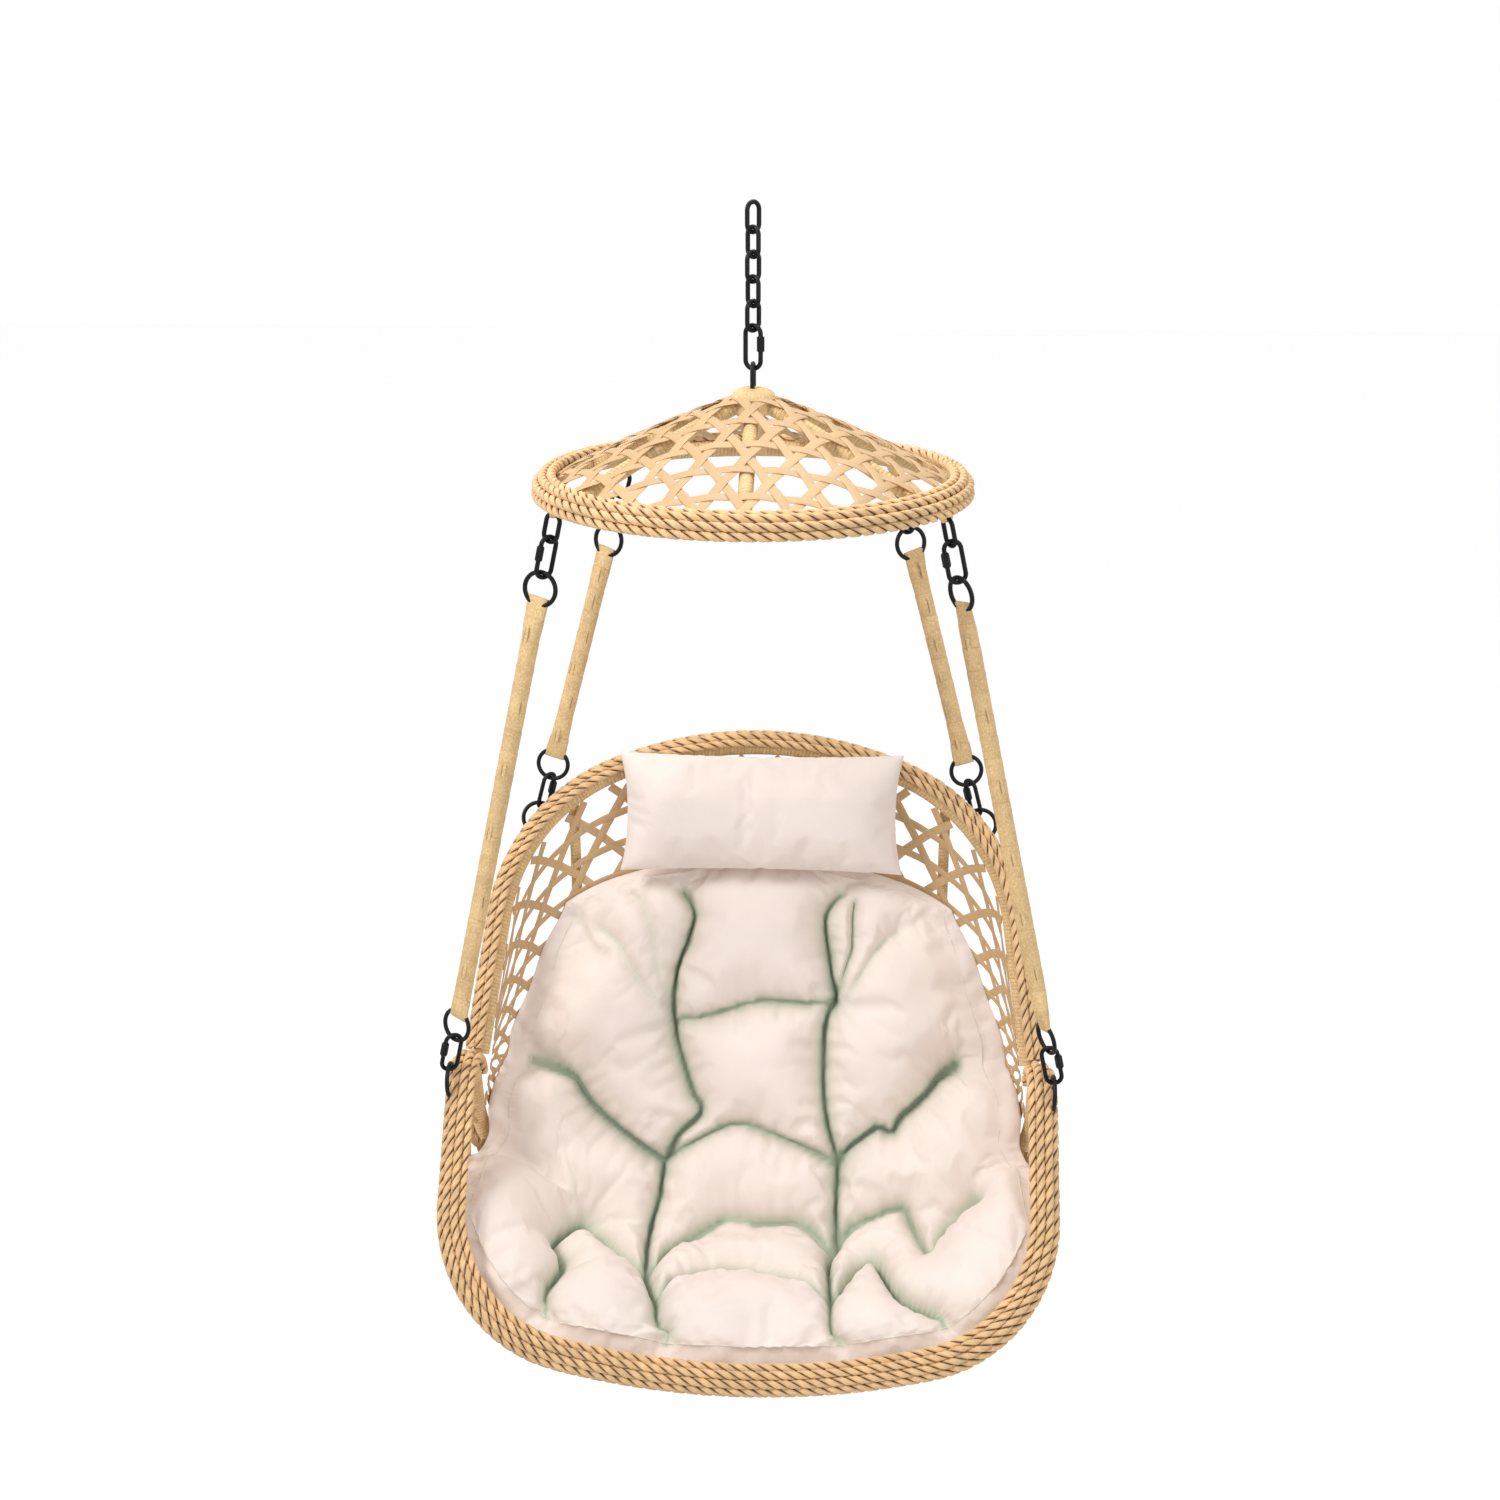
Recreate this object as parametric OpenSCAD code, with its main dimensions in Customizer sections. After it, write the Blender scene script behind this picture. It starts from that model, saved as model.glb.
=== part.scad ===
// Hanging egg chair: chain, woven canopy, four hanging lines and a woven basket with cushions.
// Millimetres. +Z is up, the front of the chair faces -Y, the hang point is the origin.

/* [Chain and links] */
// Wire of every link and ring
wire_d = 7; // [5:0.5:8]
// Inner length of a chain link
link_in = 35.5; // [32:0.5:45]
// Outer width of a chain link
link_w = 30; // [28:0.5:36]
// Inner length of a quick link
ql_in = 56; // [52:1:70]
// Outer width of a quick link
ql_w = 32; // [30:0.5:40]
// Outer diameter of a plain ring
ring_od = 58; // [50:1:70]
// Travel of a screw sleeve
sleeve_travel = 12; // [10:0.5:13]
// Length of a screw sleeve
sleeve_len = 22; // [18:0.5:24]

/* [Canopy] */
// Radius of the canopy rim, to the tube centre
canopy_r = 305; // [250:5:370]
// Height of the canopy from rim tube centre to apex
canopy_h = 146; // [110:2:180]
// Radius of the dome profile
dome_rho = 2236; // [1500:50:4000]
// Angle of the front tabs behind the side line
front_az = -20; // [-30:1:-10]
// Angle of the rear tabs behind the side line
rear_az = 45; // [38:1:52]

/* [Basket] */
// Half width of the seat hoop, to the tube centre
hoop_w = 467; // [420:5:520]
// Corner radius of the seat hoop
hoop_rc = 228; // [200:4:280]
// Height of the front bar's centre
front_z = -1732; // [-1800:5:-1690]
// Length of the front legs up the tilted front plane
front_leg = 427; // [400:2:450]
// Bend radius of the armrest loop
arm_bend = 60; // [52:1:70]
// Height of the back arch up its own plane
arch_h = 541; // [500:5:600]
// Recline of the back arch
arch_tilt = 27; // [22:1:30]

/* [Tube and rope] */
// Outer diameter of the wrapped tube
tube_d = 28; // [24:1:30]
// Diameter of the twisted rope
rope_d = 13; // [10:0.5:13]
// Thickness of the weave
strip_t = 3; // [2:0.5:4]
// Width of a woven strip
strip_w = 14.5; // [10:0.5:18]
// Distance between parallel strips of the canopy
canopy_gap = 56; // [48:1:66]
// Distance between parallel strips of the basket
basket_gap = 64; // [56:1:76]

/* [Fits] */
// Gap between pieces that rest on each other
seat_gap = 0.3; // [0.2:0.05:0.5]
// Clearance at the four lower hooks
hook_gap = 0.8; // [0.6:0.05:0.95]
// Radial clearance of a sleeve on its wire
sleeve_gap = 0.08; // [0.05:0.01:0.2]

/* [Hidden] */
tan_c = [0.80, 0.62, 0.40];
strip_c = [0.84, 0.68, 0.46];
black_c = [0.05, 0.05, 0.06];
cloth_c = [0.93, 0.87, 0.84];
$fn = 48;
wr = wire_d / 2;
tr = tube_d / 2;
rr = rope_d / 2;
rope_o = tr + rr + seat_gap;
// turn about the tube from one rope row to the next, which leaves gap between them
function row_turn(gap) = 2 * asin((rope_d + gap) / 2 / rope_o);
row_gap = 0.3718818;
hoop_row_gap = 0.3031089;
link_r = link_w / 2 - wr;
ql_r = ql_w / 2 - wr;
ring_r = ring_od / 2 - wr;
pitch = link_in - seat_gap;
ql_z = -5 * pitch;
eye_z = ql_z - ql_in + seat_gap;
eye_ang = 88;
apex_z = eye_z - 32.3;
rim_z = apex_z - canopy_h;

// dome profile: an arc through the apex and a point just above the rim tube
dome_seat = (tr + 2.55) / 16.55;
dome_p = [canopy_r - 8.5 * dome_seat, rim_z + 14.2 * dome_seat];
dome_m = [dome_p[0] / 2, (apex_z + dome_p[1]) / 2];
dome_l = norm([dome_p[0], dome_p[1] - apex_z]);
dome_n = [-(dome_p[1] - apex_z) / dome_l, dome_p[0] / dome_l];
dome_c = dome_m - dome_n * sqrt(dome_rho * dome_rho - dome_l * dome_l / 4);
function dome_z(r, o) = dome_c[1] + sqrt(pow(dome_rho + o, 2) - pow(r - dome_c[0], 2));

// seat hoop: bowed bottom, round corners, straight legs, armrest loops
bow = 12.5;
bow_r = hoop_rc + (hoop_w - hoop_rc) / sin(bow);
corner_s = bow_r - (bow_r - hoop_rc) * cos(bow);
front_tilt = 37.9;
rear_tilt = 14.8;
front_y = -365;
rear_leg = corner_s + 59.3;
leg_end = [front_y + front_leg * sin(front_tilt), front_z + front_leg * cos(front_tilt)];
bend_c = leg_end + arm_bend * [cos(front_tilt), -sin(front_tilt)];
bend_end = bend_c + arm_bend * [cos(rear_tilt), sin(rear_tilt)];
rear_foot = bend_end + rear_leg * [sin(rear_tilt), -cos(rear_tilt)];

// back arch
arch_z = bend_c[1] + 42;
arch_top_a = 24;
arch_top_r = 606 * hoop_w / 467;
arch_rc = 306 * hoop_w / 467;
arch_cx = (arch_top_r - arch_rc) * sin(arch_top_a);
arch_cs = arch_h - arch_top_r + (arch_top_r - arch_rc) * cos(arch_top_a);
arch_leg_a = 83;
arch_leg0 = [arch_cx + arch_rc * sin(arch_leg_a), arch_cs + arch_rc * cos(arch_leg_a)];
arch_leg_len = arch_leg0[1] / sin(arch_leg_a) + 4;

// hanging lines: from the hole in a tab to the wire of a basket ring
lug_z = rim_z - tr - 10;
// the armrest rings stand on the bend of the armrest, at this angle and this far over its middle line
arm_ring_a = 126.157868;
arm_ring_out = tr + 8.98299;
arm_ring_c = [hoop_w + tr + wr + 0.25, bend_c[0] + (arm_bend + arm_ring_out) * cos(arm_ring_a),
              bend_c[1] + (arm_bend + arm_ring_out) * sin(arm_ring_a)];
bring_a = 39.3;
bring_o = arch_rc + 20.4;
bring_c = [arch_cx + bring_o * cos(bring_a), arch_cs + bring_o * sin(bring_a)];
bring_back = tr + wr + seat_gap;
hook_a = 17.7;
hook_in = bring_c + ring_r * [-sin(hook_a), cos(hook_a)];
rear_hook = [hook_in[0],
             hook_in[1] * sin(arch_tilt) + bring_back * cos(arch_tilt),
             arch_z + hook_in[1] * cos(arch_tilt) - bring_back * sin(arch_tilt)];
front_hook = arm_ring_c + [0, 0, ring_r];
front_lug = [canopy_r * cos(front_az), canopy_r * sin(front_az), lug_z];
rear_lug = [canopy_r * cos(rear_az), canopy_r * sin(rear_az), lug_z];
lug_drop = link_in + wr;
function line_dir(f) = let (d = f ? front_hook - front_lug : rear_hook - rear_lug) d / norm(d);
function line_top(f) = (f ? front_lug : rear_lug) + lug_drop * line_dir(f);
function line_len(f) = norm((f ? front_hook : rear_hook) - line_top(f));

// distances down a line, from the inner bottom of its tab link
t_ring = ql_in - seat_gap + wr - (wire_d + seat_gap) + ring_r;
function t_low(f) = line_len(f) + hook_gap + wire_d - wr;
function t_low_top(f) = t_low(f) - ql_in;
function t_ring2(f) = t_low_top(f) - wr + wire_d + seat_gap - ring_r;

// [line, side, front, tab, upper link, its sleeve side, upper ring, lower ring, lower link, sleeve side]
LINES = [
  ["fl", -1, true, 25, -38, 1, 20, 34, -22, 1],
  ["fr", 1, true, -58, 5, -1, -55, -66, -5, 1],
  ["rl", -1, false, 30, -33, 1, 30, 8, -52, -1],
  ["rr", 1, false, 30, -33, 1, 30, 8, -52, -1]];

// ---- wire pieces, all in the XZ plane ----

module oval(inner, r) {
  straight = inner - 2 * (r - wr);
  translate([0, 0, -(r - wr)]) rotate([90, 0, 0])
    rotate_extrude(angle = 180) translate([r, 0]) circle(r = wr);
  translate([0, 0, -(r - wr) - straight]) rotate([-90, 0, 0])
    rotate_extrude(angle = 180) translate([r, 0]) circle(r = wr);
  for (s = [-1, 1]) translate([s * r, 0, -(r - wr) - straight]) cylinder(h = straight, r = wr);
}

// quick link, inner top at z = 0, the opening in its +X leg, which the sleeve covers by sleeve_lap at its top
sleeve_lap = 4;
ql_open = -ql_in / 2 + 4;

module quick_link() {
  low = -ql_in + (ql_r - wr);
  top = -(ql_r - wr);
  shut = ql_open + sleeve_travel - sleeve_lap;
  translate([0, 0, top]) rotate([90, 0, 0])
    rotate_extrude(angle = 180) translate([ql_r, 0]) circle(r = wr);
  translate([0, 0, low]) rotate([-90, 0, 0])
    rotate_extrude(angle = 180) translate([ql_r, 0]) circle(r = wr);
  translate([-ql_r, 0, low]) cylinder(h = top - low, r = wr);
  translate([ql_r, 0, low]) cylinder(h = ql_open - low, r = wr);
  translate([ql_r, 0, shut]) cylinder(h = top - shut, r = wr);
}

// hexagon sleeve with turned ends, closed over the opening of a quick link
module sleeve() {
  l = sleeve_len;
  translate([ql_r, 0, ql_open + sleeve_travel - l]) difference() {
    intersection() {
      linear_extrude(l) circle(d = 12.7, $fn = 6);
      rotate_extrude() polygon([[0, 0], [4.9, 0], [6.4, 2.4], [6.4, l - 2.4], [4.9, l], [0, l]]);
    }
    translate([0, 0, -1]) cylinder(h = l + 2, r = wr + sleeve_gap);
  }
}

module ring() {
  rotate([90, 0, 0]) rotate_extrude($fn = 96) translate([ring_r, 0]) circle(r = wr, $fn = 48);
}

module chain_link(i) {
  color(black_c) translate([0, 0, -pitch * i]) rotate([0, 0, 45 + 90 * i]) oval(link_in, link_r);
}

module at_top_link() {
  translate([0, 0, ql_z]) rotate([0, 0, -25]) children();
}

// ---- canopy ----

module canopy_eye() {
  color(black_c) translate([0, 0, eye_z - (link_r - wr)]) rotate([0, 0, eye_ang]) {
    rotate([90, 0, 0]) rotate_extrude(angle = 180) translate([link_r, 0]) circle(r = wr);
    for (s = [-1, 1]) translate([s * link_r, 0, -52]) cylinder(h = 52, r = wr);
  }
}

module canopy_hub() {
  color(tan_c) difference() {
    translate([0, 0, apex_z]) rotate_extrude($fn = 72)
      polygon([[0, 2], [15, 1], [24, -3], [31, -8], [34, -13], [34, -34], [30, -39], [0, -39]]);
    translate([0, 0, eye_z - (link_r - wr) - 52.3]) rotate([0, 0, eye_ang])
      for (s = [-1, 1]) translate([s * link_r, 0, 0]) cylinder(h = 90, r = wr + 0.15);
  }
}

// rim tube and everything set on it, as rings about the Z axis
module rim_ring(o, n, r) {
  translate([0, 0, rim_z + n]) rotate_extrude($fn = 180)
    translate([canopy_r + o, 0]) circle(r = r, $fn = 40);
}

module canopy_rim() {
  color(tan_c) rim_ring(0, 0, tr);
}

module canopy_ropes() {
  color(tan_c) for (i = [0:3]) {
    a = -14 + row_turn(row_gap) * i;
    rim_ring(rope_o * cos(a), rope_o * sin(a), rr);
  }
}

module canopy_ribs() {
  rib_r = 11;
  rib_rho = dome_rho - strip_t - seat_gap - rib_r;
  a0 = acos((canopy_r - dome_c[0]) / rib_rho);
  a1 = acos((20 - dome_c[0]) / rib_rho);
  color(tan_c) for (k = [0:5]) rotate([0, 0, 60 * k - 90]) difference() {
    translate([dome_c[0], 0, dome_c[1]]) rotate([90, 0, 0])
      rotate_extrude(start = a0, angle = a1 - a0, $fn = 720)
        translate([rib_rho, 0]) circle(r = rib_r, $fn = 40);
    rim_ring(0, 0, tr + 0.15);
    translate([0, 0, apex_z - 80]) cylinder(h = 160, r = 34 + seat_gap);
  }
}

// open weave: strips in three directions, cut out of the dome's shell
module canopy_weave() {
  n = 6;
  r0 = 36;
  r1 = canopy_r - 9 * dome_seat;
  rs = [for (i = [0:n]) r0 + (r1 - r0) * i / n];
  lines = [for (k = [-ceil(r1 / canopy_gap):ceil(r1 / canopy_gap)])
    if (abs(k + 0.5) * canopy_gap < r1 - strip_w) (k + 0.5) * canopy_gap];
  color(strip_c) intersection() {
    rotate_extrude($fn = 144) polygon(concat(
      [for (r = rs) [r, dome_z(r, 0)]],
      [for (i = [n:-1:0]) [rs[i], dome_z(rs[i], -strip_t)]]));
    translate([0, 0, rim_z]) linear_extrude(canopy_h + 20)
      for (way = [0, 60, 120], y = lines) rotate([0, 0, way]) translate([-r1, y - strip_w / 2])
        square([2 * r1, strip_w]);
  }
}

// frame of a hanging line: origin at the inner bottom of the tab link, -Z along the line
module at_line(L) {
  d = line_dir(L[2]);
  mirror([L[1] < 0 ? 1 : 0, 0, 0]) translate(line_top(L[2]))
    rotate([asin(d[1]), -atan2(d[0], -d[2]), 0]) children();
}

// frame of a tab's hole, its plate across X
module at_lug(L) {
  at_line(L) translate([0, 0, lug_drop + 0.8]) rotate([0, 0, L[3]]) children();
}

module canopy_tabs() {
  color(tan_c) difference() {
    for (L = LINES) at_lug(L) {
      translate([-2.5, 0, 0]) rotate([0, 90, 0]) cylinder(h = 5, d = 22);
      translate([-2.5, -11, 0]) cube([5, 22, 20]);
    }
    for (L = LINES) at_lug(L)
      translate([-4, 0, 0]) rotate([0, 90, 0]) cylinder(h = 8, r = wr + 1.2);
    rim_ring(0, 0, tr + 0.15);
  }
}

module tab_links() {
  color(black_c) for (L = LINES)
    at_line(L) translate([0, 0, link_in]) rotate([0, 0, L[3]]) oval(link_in, link_r);
}

// ---- hanging lines ----

module upper_link(L) {
  color(black_c) at_line(L) translate([0, 0, seat_gap]) rotate([0, 0, L[4]])
    mirror([L[5] < 0 ? 1 : 0, 0, 0]) quick_link();
}

module upper_sleeve(L) {
  color(black_c) at_line(L) translate([0, 0, seat_gap]) rotate([0, 0, L[4]])
    mirror([L[5] < 0 ? 1 : 0, 0, 0]) sleeve();
}

module upper_ring(L) {
  color(black_c) at_line(L) translate([0, 0, -t_ring]) rotate([0, 0, L[6]]) ring();
}

module lower_ring(L) {
  color(black_c) at_line(L) translate([0, 0, -t_ring2(L[2])]) rotate([0, 0, L[7]]) ring();
}

module lower_link(L) {
  color(black_c) at_line(L) translate([0, 0, -t_low_top(L[2])]) rotate([0, 0, L[8]])
    mirror([L[9] < 0 ? 1 : 0, 0, 0]) quick_link();
}

module lower_sleeve(L) {
  color(black_c) at_line(L) translate([0, 0, -t_low_top(L[2])]) rotate([0, 0, L[8]])
    mirror([L[9] < 0 ? 1 : 0, 0, 0]) sleeve();
}

// flared wrap that holds the lower wire of a ring, ring centre at the origin
module flare() {
  difference() {
    hull() {
      translate([0, 0, -ring_r + 7]) rotate([0, 90, 0]) translate([0, 0, -21])
        cylinder(h = 42, d = 13, $fn = 24);
      translate([0, 0, -ring_r - 7]) rotate([0, 90, 0]) translate([0, 0, -18])
        cylinder(h = 36, d = 16, $fn = 24);
      translate([0, 0, -ring_r - 44]) cylinder(h = 3, r = tr + 0.3, $fn = 32);
    }
    rotate([90, 0, 0]) rotate_extrude($fn = 96)
      translate([ring_r, 0]) circle(r = wr + 0.25, $fn = 40);
  }
}

module arm(L) {
  top = t_ring + ring_r + 42.5;
  low = t_ring2(L[2]) - ring_r - 42.5;
  color(tan_c) at_line(L) {
    translate([0, 0, -low]) cylinder(h = low - top, r = tr);
    translate([0, 0, -t_ring]) rotate([0, 0, L[6]]) flare();
    translate([0, 0, -t_ring2(L[2])]) rotate([0, 0, L[7]]) rotate([180, 0, 0]) flare();
  }
}

// ---- basket frame ----

module front_plane() {
  translate([0, front_y, front_z]) rotate([90 - front_tilt, 0, 0]) children();
}

module rear_plane() {
  translate([0, rear_foot[0], rear_foot[1]]) rotate([90 + rear_tilt, 0, 0]) children();
}

module arch_plane() {
  translate([0, 0, arch_z]) rotate([90 - arch_tilt, 0, 0]) children();
}

// arc of a round bar in the XY plane; an end is 0 free, 1 joined, 2 joined and carrying the collar
module bar_arc(rad, r, a0, a1, e0, e1, fn) {
  e = 0.4 / rad * rad2;
  s = a0 + (e0 > 0 ? e : 0);
  t = a1 - (e1 > 0 ? e : 0);
  rotate([0, 0, s]) rotate_extrude(angle = t - s, $fn = fn) translate([rad, 0]) circle(r = r, $fn = 40);
  if (e0 == 2) collar(rad, r, a0);
  if (e1 == 2) collar(rad, r, a1);
}

module collar(rad, r, a) {
  rotate([0, 0, a]) translate([rad, 0, 0]) rotate([90, 0, 0])
    cylinder(h = 3.6, r = r + 0.09, center = true, $fn = 40);
}

// U run of round section in the XY plane, offset outward by o and up by n
module u_run(r, o, n, leg, sweep, bottom) {
  translate([0, 0, n]) {
    if (bottom) translate([0, bow_r, 0])
      bar_arc(bow_r + o, r, 270 - bow, 270 + bow, 2, 2, 360);
    for (m = [0, 1]) mirror([m, 0, 0]) {
      translate([hoop_w - hoop_rc, corner_s, 0])
        bar_arc(hoop_rc + o, r, 360 - sweep, 360, bottom ? 1 : 0, 2, 120);
      translate([hoop_w + o, corner_s + 0.4, 0]) rotate([-90, 0, 0])
        cylinder(h = leg - corner_s - 0.8, r = r, $fn = 40);
    }
  }
}

module bends(r, o, n, rear_end) {
  for (m = [0, 1]) mirror([m, 0, 0])
    translate([hoop_w + o, bend_c[0], bend_c[1]]) rotate([90, 0, 90])
      bar_arc(arm_bend + n, r, rear_tilt, 180 - front_tilt, rear_end, 2, 96);
}

module seat_hoop() {
  color(tan_c) {
    front_plane() u_run(tr, 0, 0, front_leg, 90 - bow, true);
    bends(tr, 0, 0, 2);
    rear_plane() u_run(tr, 0, 0, rear_leg, 90 - bow, true);
  }
}

module ring_cut(c) {
  for (m = [0, 1]) mirror([m, 0, 0]) translate(arm_ring_c) rotate([90, 0, 90])
    rotate_extrude($fn = 96) translate([ring_r, 0]) circle(r = wr + c, $fn = 40);
}

module seat_ropes() {
  color(tan_c) difference() {
    union() for (i = [0:4]) {
      a = -10 + row_turn(hoop_row_gap) * i;
      o = rope_o * cos(a);
      n = rope_o * sin(a);
      front_plane() u_run(rr, o, n, front_leg, 90 - bow, true);
      bends(rr, o, n, i < 3 ? 2 : 0);
      if (i < 3) rear_plane() u_run(rr, o, -n, rear_leg, 38, false);
    }
    ring_cut(seat_gap);
  }
}

// run along the back arch, offset outward by o and forward by n, legs stopping at len
module arch_run(r, o, n, len) {
  translate([0, 0, n]) {
    translate([0, arch_h - arch_top_r, 0])
      bar_arc(arch_top_r + o, r, 90 - arch_top_a, 90 + arch_top_a, 2, 2, 240);
    for (m = [0, 1]) mirror([m, 0, 0]) {
      translate([arch_cx, arch_cs, 0])
        bar_arc(arch_rc + o, r, 90 - arch_leg_a, 90 - arch_top_a, 2, 1, 120);
      translate([arch_leg0[0] + o * sin(arch_leg_a), arch_leg0[1] + o * cos(arch_leg_a), 0])
        rotate([0, 0, 90 - arch_leg_a]) rotate([90, 0, 0]) translate([0, 0, 0.4])
          cylinder(h = len, r = r, $fn = 40);
    }
  }
}

// room kept for the roped armrest loop
module bend_room(c) {
  for (m = [0, 1]) mirror([m, 0, 0]) translate([hoop_w, bend_c[0], bend_c[1]]) rotate([90, 0, 90])
    rotate_extrude($fn = 96) translate([arm_bend, 0]) circle(r = c, $fn = 40);
}

module back_arch() {
  color(tan_c) difference() {
    arch_plane() arch_run(tr, 0, 0, arch_leg_len);
    bend_room(rope_o + rr + seat_gap);
  }
}

module back_ropes() {
  color(tan_c) difference() {
    arch_plane() for (i = [0:2]) {
      a = 8 + row_turn(row_gap) * i;
      arch_run(rr, rope_o * cos(a), rope_o * sin(a), arch_leg_len);
    }
    bend_room(rope_o + rr + seat_gap);
  }
}

// rod bent to an arc in the YZ plane, from p to q, bulging by g to the right of p-q
module bent_rod(p, q, g, r) {
  c = norm(q - p);
  rad = (c * c / 4 + g * g) / (2 * g);
  u = (q - p) / c;
  side = [u[1], -u[0]];
  mid = (p + q) / 2 - side * (rad - g);
  half = asin(c / 2 / rad);
  dir = atan2(side[1], side[0]);
  translate([0, mid[0], mid[1]]) rotate([90, 0, 90])
    rotate_extrude(start = dir - half, angle = 2 * half, $fn = 720)
      translate([rad, 0]) circle(r = r, $fn = 32);
}

function front_pt(s, n) = [front_y + s * sin(front_tilt) - n * cos(front_tilt),
                           front_z + s * cos(front_tilt) + n * sin(front_tilt)];
function rear_pt(s, n) = [rear_foot[0] - s * sin(rear_tilt) + n * cos(rear_tilt),
                          rear_foot[1] + s * cos(rear_tilt) + n * sin(rear_tilt)];
function arch_pt(s, n) = [s * sin(arch_tilt) + n * cos(arch_tilt),
                          arch_z + s * cos(arch_tilt) - n * sin(arch_tilt)];
function u_s(x) = x < bow_r * sin(bow) ? bow_r - sqrt(bow_r * bow_r - x * x)
  : corner_s - sqrt(hoop_rc * hoop_rc - pow(x - (hoop_w - hoop_rc), 2));
function arch_s(x) = arch_cs + sqrt(arch_rc * arch_rc - pow(x - arch_cx, 2));

module back_ribs() {
  x = 315 * hoop_w / 467;
  color(tan_c) difference() {
    for (m = [0, 1]) mirror([m, 0, 0]) translate([x, 0, 0])
      bent_rod(rear_pt(u_s(x), 12), arch_pt(arch_s(x), 12), 62, 9);
    rear_plane() u_run(tr + 0.15, 0, 0, rear_leg, 90 - bow, true);
    arch_plane() arch_run(tr + 0.15, 0, 0, arch_leg_len);
  }
}

module seat_ribs() {
  x = 150;
  rod = 9;
  seat = (tr + rod) / 23;
  color(tan_c) difference() {
    for (m = [0, 1]) mirror([m, 0, 0]) translate([x, 0, 0])
      bent_rod(front_pt(u_s(x), 0) + seat * [8, -21], rear_pt(u_s(x), 0) + seat * [-6.6, -21.5], 14, rod);
    rear_plane() u_run(tr + 0.15, 0, 0, rear_leg, 90 - bow, true);
    front_plane() u_run(tr + 0.15, 0, 0, front_leg, 90 - bow, true);
  }
}

// ---- surfaces of the bowl, over h = 0 at the middle to 1 at the armrest, v = 0 to 1 ----

rad2 = 180 / PI;

// half U, inset by d: [x, s, angle]
function u_half(h, d, leg) = let (
  l1 = bow_r * bow / rad2, l2 = hoop_rc * (90 - bow) / rad2, l = h * (l1 + l2 + leg - corner_s),
  a = l < l1 ? l / bow_r * rad2 : l < l1 + l2 ? bow + (l - l1) / hoop_rc * rad2 : 90)
  l < l1 ? [(bow_r - d) * sin(a), bow_r - (bow_r - d) * cos(a), a]
  : l < l1 + l2 ? [hoop_w - hoop_rc + (hoop_rc - d) * sin(a), corner_s - (hoop_rc - d) * cos(a), a]
  : [hoop_w - d, corner_s + l - l1 - l2, a];

// half arch, inset by d: [x, s]
function arch_half(h, d) = let (
  l1 = arch_top_r * arch_top_a / rad2, l2 = arch_rc * (arch_leg_a - arch_top_a) / rad2,
  l = h * (l1 + l2 + arch_leg_len - 30),
  a = l < l1 ? l / arch_top_r * rad2 : l < l1 + l2 ? arch_top_a + (l - l1) / arch_rc * rad2 : arch_leg_a)
  l < l1 ? [(arch_top_r - d) * sin(a), arch_h - arch_top_r + (arch_top_r - d) * cos(a)]
  : [arch_cx + (arch_rc - d) * sin(a), arch_cs + (arch_rc - d) * cos(a)]
    + (l > l1 + l2 ? (l - l1 - l2) * [cos(arch_leg_a), -sin(arch_leg_a)] : [0, 0]);

weave_off = tr + seat_gap + 0.1;
seat_sag = 15;
back_bulge = 50;

function seat_surf(h, v, d) = let (
  f = u_half(h, d, front_leg), r = u_half(h, d, rear_leg),
  p = front_pt(f[1], -weave_off), q = rear_pt(r[1], -weave_off),
  b = seat_sag * 4 * v * (1 - v))
  [f[0] + (r[0] - f[0]) * v + b * sin(f[2]),
   p[0] + (q[0] - p[0]) * v, p[1] + (q[1] - p[1]) * v - b * cos(f[2])];

function back_surf(h, v, d) = let (
  r = u_half(h, weave_off, rear_leg), a = arch_half(h, weave_off),
  p = rear_pt(r[1], 0), q = arch_pt(a[1], 0), b = back_bulge * 4 * v * (1 - v) * (1 - 0.75 * pow(h, 4)))
  [r[0] + (a[0] - r[0]) * v, p[0] + (q[0] - p[0]) * v + b - d, p[1] + (q[1] - p[1]) * v];

// closed solid between two grids of points
module grid_solid(a, b) {
  nr = len(a);
  nc = len(a[0]);
  na = nr * nc;
  pts = concat([for (r = a) for (p = r) p], [for (r = b) for (p = r) p]);
  function id(i, j) = i * nc + j;
  polyhedron(pts, concat(
    [for (i = [0:nr - 2]) for (j = [0:nc - 2]) for (k = [0, 1])
      k == 0 ? [id(i, j), id(i, j + 1), id(i + 1, j + 1)] : [id(i, j), id(i + 1, j + 1), id(i + 1, j)]],
    [for (i = [0:nr - 2]) for (j = [0:nc - 2]) for (k = [0, 1])
      k == 0 ? [na + id(i, j), na + id(i + 1, j + 1), na + id(i, j + 1)]
        : [na + id(i, j), na + id(i + 1, j), na + id(i + 1, j + 1)]],
    [for (j = [0:nc - 2]) for (k = [0, 1])
      k == 0 ? [id(0, j), na + id(0, j), na + id(0, j + 1)] : [id(0, j), na + id(0, j + 1), id(0, j + 1)]],
    [for (j = [0:nc - 2]) for (k = [0, 1])
      k == 0 ? [id(nr - 1, j), na + id(nr - 1, j + 1), na + id(nr - 1, j)]
        : [id(nr - 1, j), id(nr - 1, j + 1), na + id(nr - 1, j + 1)]],
    [for (i = [0:nr - 2]) for (k = [0, 1])
      k == 0 ? [id(i, 0), na + id(i + 1, 0), na + id(i, 0)] : [id(i, 0), id(i + 1, 0), na + id(i + 1, 0)]],
    [for (i = [0:nr - 2]) for (k = [0, 1])
      k == 0 ? [id(i, nc - 1), na + id(i, nc - 1), na + id(i + 1, nc - 1)]
        : [id(i, nc - 1), na + id(i + 1, nc - 1), id(i + 1, nc - 1)]]));
}

function flip(p, s) = [p[0] * s, p[1], p[2]];

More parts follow.
